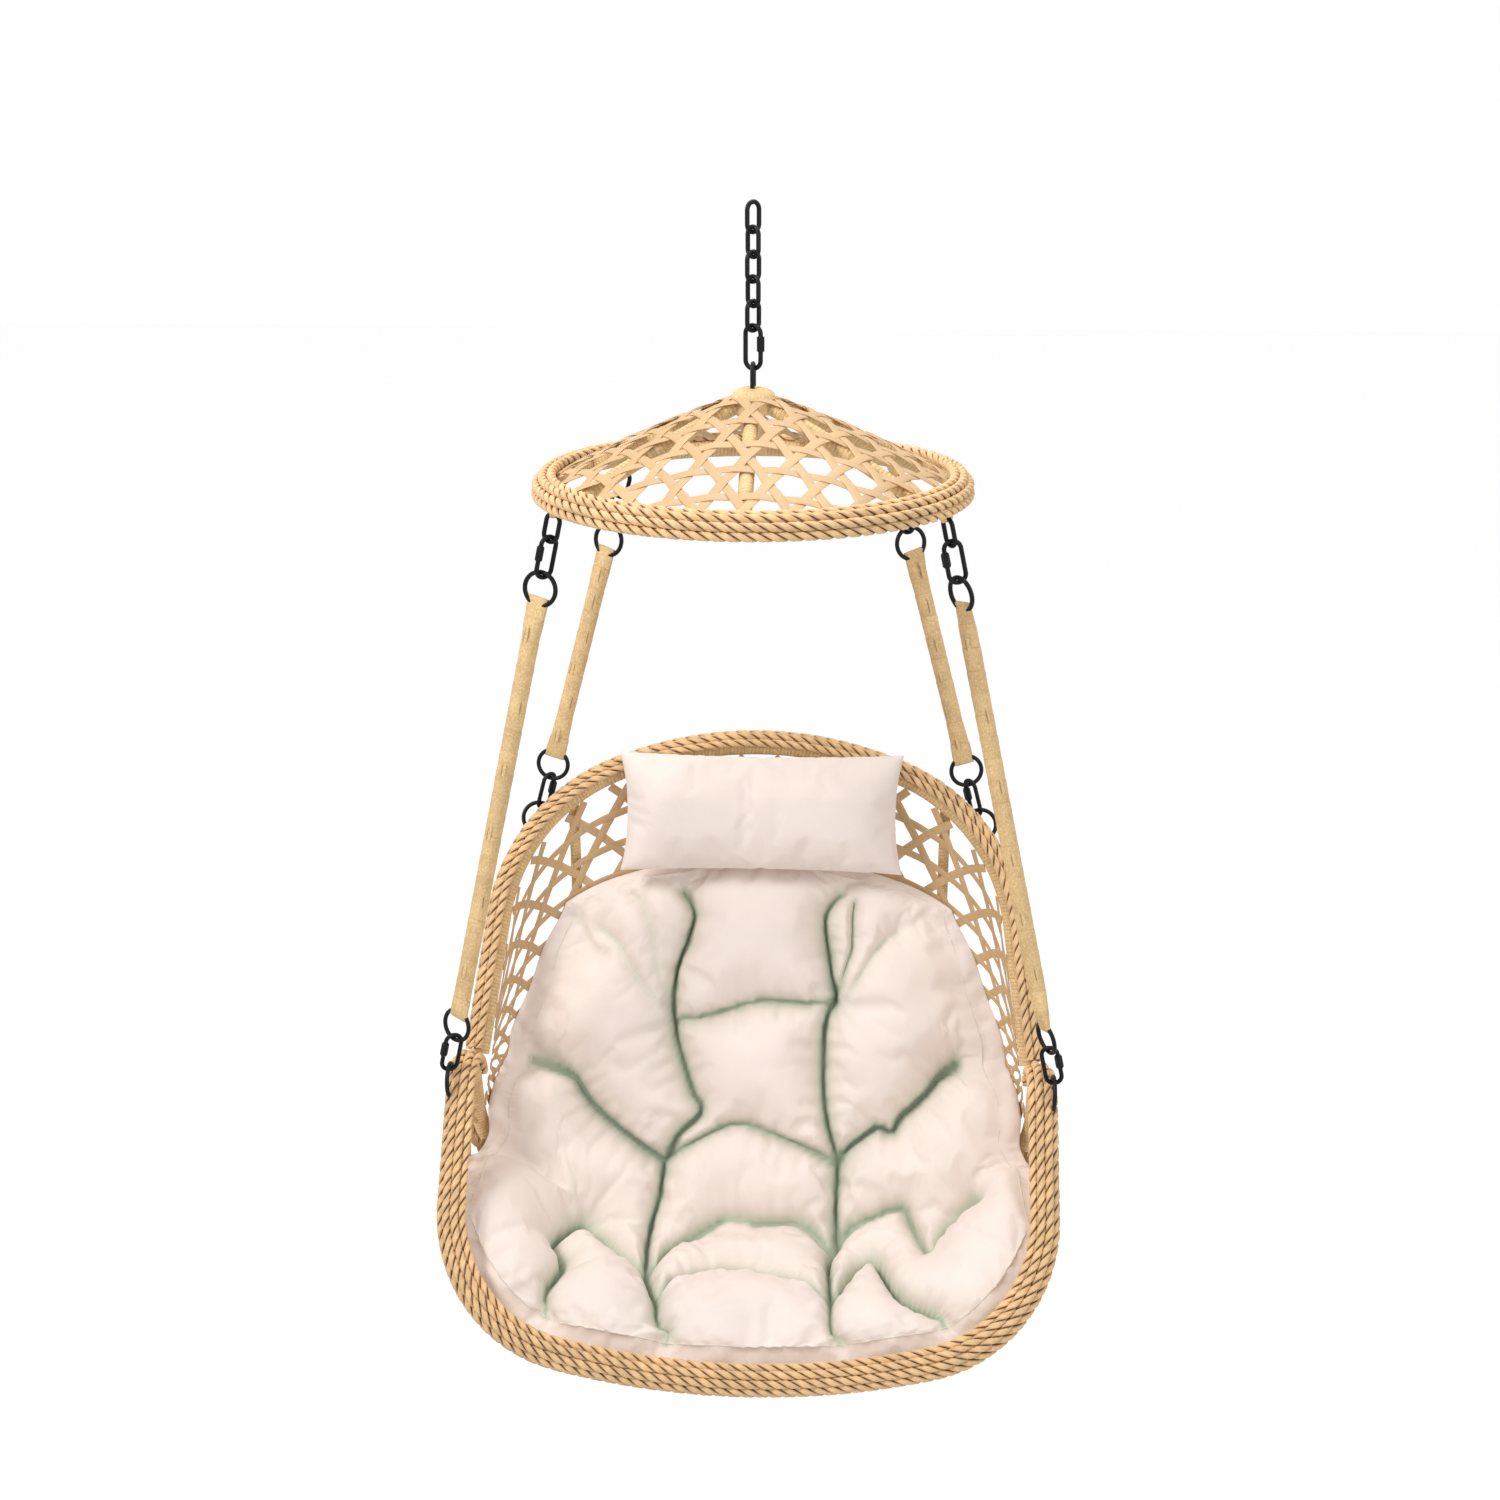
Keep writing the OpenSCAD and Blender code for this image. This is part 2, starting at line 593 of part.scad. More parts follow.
// Closed solid of a weave with rows of six-sided openings, n + 1 and n of them in turn.
// at(u, v, d) places a point: u from -1 to 1, v from 0 to 1, d through the thickness t.
// hc and hf are half of an opening's width between corners and of its height.
module net_solid(at, rows, n, cell, hc, hf, t) {
  function level(i, half, v) = concat([[-1, v]],
    [for (k = [0:n - i % 2]) for (e = [-half, half]) [(k - (n - i % 2) / 2) * cell + e, v]], [[1, v]]);
  levels = concat([level(0, hc / 2, 0)],
    [for (i = [0:rows - 1]) for (k = [-1:1]) level(i, k == 0 ? hc : hc / 2, (i + 0.5) / rows + k * hf)],
    [level(rows - 1, hc / 2, 1)]);
  top = 3 * rows + 1;
  starts = [for (i = 0, s = 0; i <= top; s = s + len(levels[i]), i = i + 1) s];
  size = starts[top] + len(levels[top]);
  function id(l, j) = starts[l] + j;
  function last(l) = len(levels[l]) - 1;
  // triangles between two whole levels
  function zip(a, b, i = 0, j = 0) = i == last(a) && j == last(b) ? []
    : j == last(b) || (i < last(a) && levels[a][i + 1][0] <= levels[b][j + 1][0])
      ? concat([[id(a, i), id(a, i + 1), id(b, j)]], zip(a, b, i + 1, j))
      : concat([[id(a, i), id(b, j + 1), id(b, j)]], zip(a, b, i, j + 1));
  skin = concat(zip(0, 1), zip(top - 1, top),
    [for (i = [1:rows - 1]) for (f = zip(3 * i, 3 * i + 1)) f],
    [for (i = [0:rows - 1]) for (l = [3 * i + 1, 3 * i + 2]) for (j = [0:2:last(l)]) for (k = [0, 1])
      k == 0 ? [id(l, j), id(l, j + 1), id(l + 1, j + 1)] : [id(l, j), id(l + 1, j + 1), id(l + 1, j)]]);
  edges = concat(
    [for (j = [1:last(0)]) [id(0, j - 1), id(0, j)]],
    [for (j = [1:last(top)]) [id(top, j), id(top, j - 1)]],
    [for (l = [1:top]) [id(l - 1, last(l - 1)), id(l, last(l))]],
    [for (l = [1:top]) [id(l, 0), id(l - 1, 0)]],
    [for (i = [0:rows - 1]) for (j = [1:2:last(3 * i + 1) - 2]) let (l = 3 * i + 1,
      o = [id(l, j), id(l, j + 1), id(l + 1, j + 1), id(l + 2, j + 1), id(l + 2, j), id(l + 1, j)])
      for (k = [0:5]) [o[(k + 1) % 6], o[k]]]);
  polyhedron(
    concat([for (l = levels) for (p = l) at(p[0], p[1], t / 2)], [for (l = levels) for (p = l) at(p[0], p[1], -t / 2)]),
    concat(skin, [for (f = skin) [size + f[0], size + f[2], size + f[1]]],
      [for (e = edges) for (k = [0, 1]) k == 0 ? [e[0], size + e[0], size + e[1]] : [e[0], size + e[1], e[1]]]));
}

// a weave over a surface half_w to each side of the middle and tall at the middle, in mm
module net(at, half_w, tall, t) {
  rows = round(tall / basket_gap);
  half_c = (basket_gap - strip_w) / sqrt(3);
  edge = strip_w * 0.75 + half_c;
  n = 2 * round((half_w - edge) * sqrt(3) / 2 / basket_gap);
  cell = 2 * (half_w - edge) / n;
  net_solid(at, rows, n, cell / half_w, (cell / 2 - strip_w / sqrt(3)) / half_w,
    (1 - strip_w * rows / tall) / 2 / rows, t);
}

seat_half = 0.69 * hoop_w / 0.467;
seat_deep = 424;
back_half = 0.55 * hoop_w / 0.467;
back_tall = 1.5 * arch_h;
back_reach = 0.93;

module seat_weave() {
  color(strip_c) net(function(u, v, d) flip(seat_surf(abs(u), v, -d), sign(u)), seat_half, seat_deep, strip_t);
}

module back_weave() {
  color(strip_c) net(function(u, v, d) flip(back_surf(back_reach * abs(u), 1 - v, d), sign(u)),
    back_half, back_tall, strip_t);
}

module arm_rings() {
  color(black_c) ring_cut(0);
}

module back_rings() {
  color(black_c) arch_plane() for (m = [0, 1]) mirror([m, 0, 0])
    translate([bring_c[0], bring_c[1], -bring_back]) rotate([90, 0, 0]) ring();
}

// ---- cushions ----

pad_in = strip_t / 2 + 2.5;

// rows of the cushion: [on the back, v, inset, thickness, half reach, lean of the thickness]
ROWS = [
  [0, 0.07, 14, 34, 0.75, 0], [0, 0.12, 6, 62, 0.765, 4], [0, 0.22, pad_in, 86, 0.78, 8],
  [0, 0.36, pad_in, 98, 0.79, 14], [0, 0.5, pad_in, 102, 0.80, 22],
  [0, 0.64, pad_in, 104, 0.81, 31], [0, 0.78, 6, 106, 0.82, 40],
  [0, 0.9, 22, 106, 0.84, 50], [1, 0.09, 24, 108, 0.86, 60], [1, 0.18, 14, 110, 0.86, 68],
  [1, 0.28, 6, 112, 0.84, 76], [1, 0.39, 2.5, 112, 0.80, 83], [1, 0.5, 2.5, 108, 0.74, 88],
  [1, 0.6, 2.5, 100, 0.66, 90], [1, 0.69, 2.5, 84, 0.57, 90], [1, 0.745, 4, 60, 0.51, 88],
  [1, 0.77, 8, 34, 0.48, 86]];

function pad_low(R, h) = R[0] == 0 ? seat_surf(h, R[1], R[2]) : back_surf(h, R[1], R[2]);
function pad_turn(R, e) = 78 * pow(e, 1.6);
function pad_top(R, h, e) = let (a = pad_turn(R, e),
  t = R[3] * (0.34 + 0.66 * sqrt(max(0, 1 - pow(e, 5)))))
  pad_low(R, h) + t * [-sin(a), -cos(a) * sin(R[5]), cos(a) * cos(R[5])];

module cushion() {
  n = 14;
  color(cloth_c) grid_solid(
    [for (R = ROWS) [for (j = [-n:n]) flip(pad_low(R, abs(j) / n * R[4]), sign(j))]],
    [for (R = ROWS) [for (j = [-n:n]) flip(pad_top(R, abs(j) / n * R[4], abs(j) / n), sign(j))]]);
}

// the pillow's middle, ahead of and below the top of the back arch
pillow_ahead = 76.0089;
pillow_below = 92.1163;
pillow_c = [6, arch_h * sin(arch_tilt) - pillow_ahead, arch_z + arch_h * cos(arch_tilt) - pillow_below];
pillow_tilt = 10;

module pillow() {
  nu = 16;
  nv = 10;
  w = 238;
  h = 102;
  t = 44;
  function pt(i, j, s) = let (u = 2 * i / nu - 1, v = 2 * j / nv - 1,
    k = t * pow(max(0, (1 - pow(abs(u), 3.2)) * (1 - pow(abs(v), 2.6))), 0.5) + 3)
    [u * w * (1 - 0.05 * (1 - v * v)), s * k, v * h * (1 - 0.06 * (1 - u * u))];
  color(cloth_c) translate(pillow_c) rotate([-pillow_tilt, 0, 0]) grid_solid(
    [for (j = [0:nv]) [for (i = [0:nu]) pt(i, j, 1)]],
    [for (j = [0:nv]) [for (i = [0:nu]) pt(i, j, -1)]]);
}

// ---- one line a node ----

chain_link(0);  // link_1
chain_link(1);  // link_2
chain_link(2);  // link_3
chain_link(3);  // link_4
chain_link(4);  // link_5
color(black_c) at_top_link() quick_link();  // top_link
color(black_c) at_top_link() sleeve();  // top_sleeve
canopy_eye();
canopy_hub();
canopy_ribs();
canopy_rim();
canopy_ropes();
canopy_weave();
canopy_tabs();
tab_links();
upper_link(LINES[0]);  // fl_upper_link
upper_sleeve(LINES[0]);  // fl_upper_sleeve
upper_ring(LINES[0]);  // fl_upper_ring
arm(LINES[0]);  // fl_arm
lower_ring(LINES[0]);  // fl_lower_ring
lower_link(LINES[0]);  // fl_lower_link
lower_sleeve(LINES[0]);  // fl_lower_sleeve
upper_link(LINES[1]);  // fr_upper_link
upper_sleeve(LINES[1]);  // fr_upper_sleeve
upper_ring(LINES[1]);  // fr_upper_ring
arm(LINES[1]);  // fr_arm
lower_ring(LINES[1]);  // fr_lower_ring
lower_link(LINES[1]);  // fr_lower_link
lower_sleeve(LINES[1]);  // fr_lower_sleeve
upper_link(LINES[2]);  // rl_upper_link
upper_sleeve(LINES[2]);  // rl_upper_sleeve
upper_ring(LINES[2]);  // rl_upper_ring
arm(LINES[2]);  // rl_arm
lower_ring(LINES[2]);  // rl_lower_ring
lower_link(LINES[2]);  // rl_lower_link
lower_sleeve(LINES[2]);  // rl_lower_sleeve
upper_link(LINES[3]);  // rr_upper_link
upper_sleeve(LINES[3]);  // rr_upper_sleeve
upper_ring(LINES[3]);  // rr_upper_ring
arm(LINES[3]);  // rr_arm
lower_ring(LINES[3]);  // rr_lower_ring
lower_link(LINES[3]);  // rr_lower_link
lower_sleeve(LINES[3]);  // rr_lower_sleeve
seat_hoop();
back_arch();
back_ribs();
seat_ribs();
seat_ropes();
back_ropes();
seat_weave();
back_weave();
arm_rings();
back_rings();
cushion();
pillow();
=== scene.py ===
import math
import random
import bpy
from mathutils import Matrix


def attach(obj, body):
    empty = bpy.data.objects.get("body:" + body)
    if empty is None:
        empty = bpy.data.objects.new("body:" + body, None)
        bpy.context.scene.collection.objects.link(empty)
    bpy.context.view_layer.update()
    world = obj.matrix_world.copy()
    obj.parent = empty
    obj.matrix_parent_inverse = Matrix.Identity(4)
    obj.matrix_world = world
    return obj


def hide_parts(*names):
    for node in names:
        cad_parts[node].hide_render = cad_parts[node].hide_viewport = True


bl_info = {
    "name": "Hanging egg chair",
    "version": (1, 0, 0),
    "blender": (4, 5, 0),
    "location": "3D View > Sidebar > Egg chair",
    "description": "Woven canopy, wrapped arms, roped basket and cushions on a packed frame",
    "category": "Object",
}

import bmesh
import bpy
import numpy as np
from bpy.props import FloatProperty, FloatVectorProperty, IntProperty, PointerProperty
from mathutils import Matrix, Vector, noise

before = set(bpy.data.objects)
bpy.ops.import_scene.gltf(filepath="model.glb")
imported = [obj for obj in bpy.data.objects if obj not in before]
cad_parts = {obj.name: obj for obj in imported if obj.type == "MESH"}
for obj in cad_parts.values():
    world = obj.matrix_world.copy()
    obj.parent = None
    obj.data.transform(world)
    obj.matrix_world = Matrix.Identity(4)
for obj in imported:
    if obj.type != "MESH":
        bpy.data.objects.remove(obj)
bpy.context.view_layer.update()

# ---- sizes of the frame, in metres, hang point at the origin ----

GAP = 0.0003
HOOK_GAP = 0.0008
WIRE = 0.0035
TUBE = 0.014
ROPE = 0.0065
ROPE_OUT = TUBE + ROPE + GAP
RIM_R = 0.305
RIM_Z = -0.41
APEX_Z = -0.264
DOME_RHO = 2.236

HOOP_W = 0.467
HOOP_RC = 0.228
BOW = math.radians(12.5)
BOW_R = HOOP_RC + (HOOP_W - HOOP_RC) / math.sin(BOW)
CORNER_S = BOW_R - (BOW_R - HOOP_RC) * math.cos(BOW)
FRONT_TILT = math.radians(37.9)
REAR_TILT = math.radians(14.8)
FRONT_Y, FRONT_Z = -0.365, -1.732
FRONT_LEG = 0.427
REAR_LEG = CORNER_S + 0.0593
ARM_BEND = 0.06
LEG_END = (FRONT_Y + FRONT_LEG * math.sin(FRONT_TILT), FRONT_Z + FRONT_LEG * math.cos(FRONT_TILT))
BEND_C = (LEG_END[0] + ARM_BEND * math.cos(FRONT_TILT), LEG_END[1] - ARM_BEND * math.sin(FRONT_TILT))
BEND_END = (BEND_C[0] + ARM_BEND * math.cos(REAR_TILT), BEND_C[1] + ARM_BEND * math.sin(REAR_TILT))
REAR_FOOT = (BEND_END[0] + REAR_LEG * math.sin(REAR_TILT), BEND_END[1] - REAR_LEG * math.cos(REAR_TILT))

ARCH_H = 0.541
ARCH_TILT = math.radians(27)
ARCH_Z = BEND_C[1] + 0.042
TOP_A = math.radians(24)
LEG_A = math.radians(83)
TOP_R, SIDE_R = 0.606, 0.306
ARCH_CX = (TOP_R - SIDE_R) * math.sin(TOP_A)
ARCH_CS = ARCH_H - TOP_R + (TOP_R - SIDE_R) * math.cos(TOP_A)
ARCH_LEG0 = (ARCH_CX + SIDE_R * math.sin(LEG_A), ARCH_CS + SIDE_R * math.cos(LEG_A))
ARCH_LEG_LEN = ARCH_LEG0[1] / math.sin(LEG_A) + 0.004

# ribs: their radii, and how far from the middle those of the back and of the seat stand
RIB_R = 0.011
ROD_R = 0.009
BACK_RIB_X = 0.315
SEAT_RIB_X = 0.150

# hanging lines: side, whether in front, and the turns of the tab, the upper ring and the lower ring
RING_R = 0.0255
LINK_IN = 0.0355
QL_IN = 0.056
LUG_Z = RIM_Z - TUBE - 0.01
LINES = {
    "fl": (-1, True, 25, 20, 34),
    "fr": (1, True, -58, -55, -66),
    "rl": (-1, False, 30, 30, 8),
    "rr": (1, False, 30, 30, 8),
}
RING_T = QL_IN - WIRE - 2 * GAP + RING_R

# how far an arm's end lies from the centre of the ring that it is wrapped over
RING_IN_ARM = 0.0135

# tabs: places round the rim, and how far their straps reach up and down
FRONT_TAB_A, REAR_TAB_A = math.radians(-20), math.radians(45)
TAB_UP, TAB_DOWN = 0.0165, 0.0062

# rings of the basket: height over the armrest's bend; angle, lean and distance on the back arch
ARM_RING_UP = 0.067
ARCH_RING_A, ARCH_RING_LEAN = math.radians(39.3), math.radians(17.7)
ARCH_RING_OUT = SIDE_R + 0.0204


def front_pt(x, s, n):
    return (x, FRONT_Y + s * math.sin(FRONT_TILT) - n * math.cos(FRONT_TILT),
            FRONT_Z + s * math.cos(FRONT_TILT) + n * math.sin(FRONT_TILT))


def rear_pt(x, s, n):
    return (x, REAR_FOOT[0] - s * math.sin(REAR_TILT) + n * math.cos(REAR_TILT),
            REAR_FOOT[1] + s * math.cos(REAR_TILT) + n * math.sin(REAR_TILT))


def arch_pt(x, s, n):
    """n is positive towards the sitter."""
    return (x, s * math.sin(ARCH_TILT) - n * math.cos(ARCH_TILT),
            ARCH_Z + s * math.cos(ARCH_TILT) + n * math.sin(ARCH_TILT))


DOME_P = (RIM_R - 0.0085, RIM_Z + 0.0142)
DOME_M = (DOME_P[0] / 2, (APEX_Z + DOME_P[1]) / 2)
DOME_L = math.hypot(DOME_P[0], DOME_P[1] - APEX_Z)
DOME_N = (-(DOME_P[1] - APEX_Z) / DOME_L, DOME_P[0] / DOME_L)
DOME_D = math.sqrt(DOME_RHO ** 2 - DOME_L ** 2 / 4)
DOME_C = (DOME_M[0] - DOME_N[0] * DOME_D, DOME_M[1] - DOME_N[1] * DOME_D)


def dome_z(r, lift=0.0):
    return DOME_C[1] + math.sqrt((DOME_RHO + lift) ** 2 - (r - DOME_C[0]) ** 2)


# ---- surfaces of the bowl: h from the middle to the armrest, v across ----

def u_half(h, inset, leg):
    """x, height and angle on the seat hoop, moved in by inset, at the share h of its half; leg is where
    the half ends."""
    bottom, corner = BOW_R * BOW, HOOP_RC * (math.pi / 2 - BOW)
    run = h * (bottom + corner + leg - CORNER_S)
    if run < bottom:
        a = run / BOW_R
        return (BOW_R - inset) * math.sin(a), BOW_R - (BOW_R - inset) * math.cos(a), a
    if run < bottom + corner:
        a = BOW + (run - bottom) / HOOP_RC
        return (HOOP_W - HOOP_RC + (HOOP_RC - inset) * math.sin(a),
                CORNER_S - (HOOP_RC - inset) * math.cos(a), a)
    return HOOP_W - inset, CORNER_S + run - bottom - corner, math.pi / 2


def arch_half(h, inset):
    """x and height on the back arch, moved in by inset, at the share h of its half."""
    top, side = TOP_R * TOP_A, SIDE_R * (LEG_A - TOP_A)
    run = h * (top + side + ARCH_LEG_LEN - 0.03)
    if run < top:
        a = run / TOP_R
        return (TOP_R - inset) * math.sin(a), ARCH_H - TOP_R + (TOP_R - inset) * math.cos(a)
    a = min(TOP_A + (run - top) / SIDE_R, LEG_A)
    x, s = ARCH_CX + (SIDE_R - inset) * math.sin(a), ARCH_CS + (SIDE_R - inset) * math.cos(a)
    rest = max(0.0, run - top - side)
    return x + rest * math.cos(LEG_A), s - rest * math.sin(LEG_A)


WEAVE_OFF = TUBE + 0.0004
SEAT_SAG = 0.015
BACK_BULGE = 0.05


def seat_surf(h, v, d):
    """A point of the seat between the front and the rear run of the hoop, raised by d."""
    side = -1 if h < 0 else 1
    f, r = u_half(abs(h), d, FRONT_LEG), u_half(abs(h), d, REAR_LEG)
    p, q = front_pt(0, f[1], -WEAVE_OFF), rear_pt(0, r[1], -WEAVE_OFF)
    b = SEAT_SAG * 4 * v * (1 - v)
    return (side * (f[0] + (r[0] - f[0]) * v + b * math.sin(f[2])),
            p[1] + (q[1] - p[1]) * v, p[2] + (q[2] - p[2]) * v - b * math.cos(f[2]))


def back_surf(h, v, d):
    """A point of the back between the rear run of the hoop and the arch, moved forward by d."""
    side = -1 if h < 0 else 1
    r, a = u_half(abs(h), WEAVE_OFF, REAR_LEG), arch_half(abs(h), WEAVE_OFF)
    p, q = rear_pt(0, r[1], 0), arch_pt(0, a[1], 0)
    b = BACK_BULGE * 4 * v * (1 - v) * (1 - 0.75 * abs(h) ** 4)
    return (side * (r[0] + (a[0] - r[0]) * v), p[1] + (q[1] - p[1]) * v + b - d, p[2] + (q[2] - p[2]) * v)


# ---- settings a user would change ----

def length(name, default, what):
    return FloatProperty(name=name, description=what, default=default, unit="LENGTH")


def tint(name, default, what):
    return FloatVectorProperty(name=name, description="Colour of " + what, subtype="COLOR", default=default)


class WeaveSettings(bpy.types.PropertyGroup):
    strip_width: length("Strip width", 0.0145, "Width of one flat strip")
    strip_thick: length("Strip thickness", 0.0017, "Thickness of one flat strip")
    canopy_gap: length("Canopy spacing", 0.056, "Distance between parallel canopy strips")
    basket_gap: length("Basket spacing", 0.064, "Distance between parallel basket strips")
    colour: tint("Strip colour", (0.72, 0.47, 0.235), "the flat strips")


class RopeSettings(bpy.types.PropertyGroup):
    lay: length("Lay length", 0.043, "Length of one full turn of a strand")
    strand: length("Strand radius", 0.0034, "Radius of one strand")
    sides: IntProperty(name="Strand sides", description="Faces round one strand", default=10)
    colour: tint("Rope colour", (0.80, 0.52, 0.27), "the twisted rope")


class TubeSettings(bpy.types.PropertyGroup):
    wind: length("Winding", 0.0062, "Width of one turn of the wrap on the hoops")
    tape: length("Arm tape", 0.036, "Width of one turn of tape on the arms")
    colour: tint("Wrap colour", (0.76, 0.52, 0.255), "the wrapped tubes")


class MetalSettings(bpy.types.PropertyGroup):
    colour: tint("Paint colour", (0.006, 0.006, 0.007), "the painted steel")


class CushionSettings(bpy.types.PropertyGroup):
    colour: tint("Cloth colour", (0.90, 0.79, 0.73), "the cushion cloth")
    puff: FloatProperty(name="Puff", description="Air pressure in the padded pieces", default=4.0)
    cap: length("Puff limit", 0.018, "Farthest that the cloth may swell")


class StageSettings(bpy.types.PropertyGroup):
    floor_z: length("Floor", -2.25, "Height of the floor")
    key: FloatProperty(name="Key light", description="Power of the main lamp", default=105.0, unit="POWER")


class ChairSettings(bpy.types.PropertyGroup):
    weave: PointerProperty(type=WeaveSettings)
    rope: PointerProperty(type=RopeSettings)
    tube: PointerProperty(type=TubeSettings)
    metal: PointerProperty(type=MetalSettings)
    cushion: PointerProperty(type=CushionSettings)
    stage: PointerProperty(type=StageSettings)


# ---- materials ----

class Wire:
    """A socket of a material. Sums on it add Math nodes."""

    def __init__(self, finish, socket):
        self.finish, self.socket = finish, socket

    def _sum(self, how, a, b):
        return self.finish.add("ShaderNodeMath", {0: a, 1: b}, operation=how)

    def __add__(self, o):
        return self._sum("ADD", self, o)

    def __radd__(self, o):
        return self._sum("ADD", o, self)

    def __sub__(self, o):
        return self._sum("SUBTRACT", self, o)

    def __mul__(self, o):
        return self._sum("MULTIPLY", self, o)

    def wave(self):
        return self._sum("SINE", self, 0.0)


class Finish:
    """A material and its one surface shader."""

    def __init__(self, name):
        self.mat = bpy.data.materials.new(name)
        self.mat.use_nodes = True
        self.tree = self.mat.node_tree
        self.tree.nodes.clear()
        self.shader = self.node("ShaderNodeBsdfPrincipled")
        self.end = self.node("ShaderNodeOutputMaterial", {"Surface": Wire(self, self.shader.outputs[0])})
        self.place = self.add("ShaderNodeTexCoord", key="Object")
        # per-point value read by the materials: a random tone of each part, plus painted shade in grooves,
        # under tape flaps and in cushion creases
        self.lay = self.add("ShaderNodeAttribute", key="Vector", attribute_name="lay")
        self.tone = self.add("ShaderNodeAttribute", key="Fac", attribute_name="tone")

    def node(self, kind, sockets=None, **options):
        made = self.tree.nodes.new(kind)
        for key, value in options.items():
            setattr(made, key, value)
        for key, value in (sockets or {}).items():
            self.put(made.inputs[key], value)
        return made

    def add(self, kind, sockets=None, key=0, **options):
        """Adds a node and gives one of its outputs."""
        return Wire(self, self.node(kind, sockets, **options).outputs[key])

    def put(self, socket, value):
        if isinstance(value, Wire):
            self.tree.links.new(value.socket, socket)
        elif socket.type == "RGBA" and len(value) == 3:
            socket.default_value = (*value, 1)
        else:
            socket.default_value = value

    def set(self, **values):
        for key, value in values.items():
            self.put(self.shader.inputs[key.replace("_", " ")], value)

    def scaled(self, vector, scale):
        return self.add("ShaderNodeMapping", {"Vector": vector, "Scale": scale})

    def noise(self, vector, scale, detail=2.0, rough=0.5):
        return self.add("ShaderNodeTexNoise",
                        {"Vector": vector, "Scale": scale, "Detail": detail, "Roughness": rough})

    def ramp(self, value, low, high):
        return self.add("ShaderNodeMapRange", {"Value": value, "From Min": low, "From Max": high}, clamp=True)

    def mix(self, share, a, b):
        return self.add("ShaderNodeMix", {0: share, 6: a, 7: b}, 2, data_type="RGBA")

    def patches(self, base, scale, low, high, dark, pale, rough=0.5):
        """Slow patches between a darker and a paler version of a colour."""
        share = self.ramp(self.noise(self.place, scale, 3.0, rough), low, high)
        return self.mix(share, shade(base, dark), shade(base, pale))

    def bump(self, height, distance, strength):
        self.set(Normal=self.add("ShaderNodeBump",
                                 {"Height": height, "Distance": distance, "Strength": strength}))


def shade(colour, k):
    return tuple(min(1.0, c * k) for c in colour)


def black_paint(look):
    f = Finish("black_paint")
    broad = f.noise(f.place, 45.0)
    wear = f.ramp(f.noise(f.place, 260.0, 4.0, 0.6), 0.66, 0.74)
    f.set(Base_Color=f.mix(wear * 0.35, tuple(look.colour), (0.11, 0.11, 0.115)),
          Roughness=0.30 + broad * 0.22 + wear * 0.2, Specular_IOR_Level=0.22)
    f.bump(f.noise(f.place, 700.0, 3.0) + wear * -0.4, 0.00025, 0.5)
    return f.mat


def wrapped_cane(look, name):
    """Paper-fibre tape: short pale flecks, faint cross threads, slow patches of colour, and painted shade in
    the grooves between turns.
    """
    f = Finish(name)
    base = tuple(look.colour)
    fleck = f.noise(f.scaled(f.place, (1.0, 1.0, 0.75)), 340.0, 3.0, 0.65)
    thread = f.noise(f.scaled(f.lay, (60.0, 60.0, 1500.0)), 1.0)
    colour = f.patches(base, 34.0, 0.35, 0.68, 0.90, 1.10)
    colour = f.mix(f.ramp(fleck, 0.52, 0.64) * 0.62, colour, shade(base, 1.42))
    colour = f.mix(f.ramp(fleck, 0.47, 0.36) * 0.42, colour, shade(base, 0.70))
    # painted shade: a low per-point value darkens the tape toward a deep brown in the grooves between turns
    # and under the open edge of tucked flaps; higher values give each turn a random tone
    f.set(Base_Color=f.mix(f.tone, shade(base, 0.42), colour), Roughness=0.62 + fleck * 0.2)
    f.bump(fleck + thread * 0.7, 0.0007, 0.55)
    return f.mat


def twisted_rope(look):
    """Paper cord strands: fibres run along the strand, and painted shade darkens the grooves between the
    strands.
    """
    f = Finish("twisted_rope")
    base = tuple(look.colour)
    fibre = f.noise(f.scaled(f.lay, (900.0, 900.0, 70.0)), 1.0, 3.0, 0.6)
    fleck = f.noise(f.place, 240.0)
    colour = f.patches(base, 28.0, 0.3, 0.72, 0.86, 1.16)
    colour = f.mix(f.ramp(fibre, 0.4, 0.7) * 0.45, colour, shade(base, 1.4))
    colour = f.mix(f.ramp(fleck, 0.6, 0.75) * 0.3, colour, shade(base, 0.66))
    # painted shade: where the per-point value is low, in the grooves between strands, the colour turns to a
    # warm dark brown
    f.set(Base_Color=f.mix(f.tone, (0.15, 0.065, 0.02), colour), Roughness=0.58 + fibre * 0.2)
    f.bump(fibre, 0.0006, 0.5)
    return f.mat


def flat_strip(look):
    """Flat extruded strip: fine lengthwise lines and a dull sheen."""
    f = Finish("woven_strip")
    base = tuple(look.colour)
    line = f.noise(f.scaled(f.lay, (0.0, 1500.0, 9.0)), 1.0, 3.0, 0.6)
    grain = f.noise(f.place, 650.0)
    colour = f.patches(base, 22.0, 0.3, 0.7, 0.92, 1.10)
    colour = f.mix(f.ramp(line, 0.35, 0.7) * 0.4, shade(base, 0.84), colour)
    f.set(Base_Color=f.mix(f.tone, shade(base, 0.5), colour), Roughness=0.46 + grain * 0.18)
    f.bump(line + grain * 0.3, 0.0003, 0.5)
    return f.mat


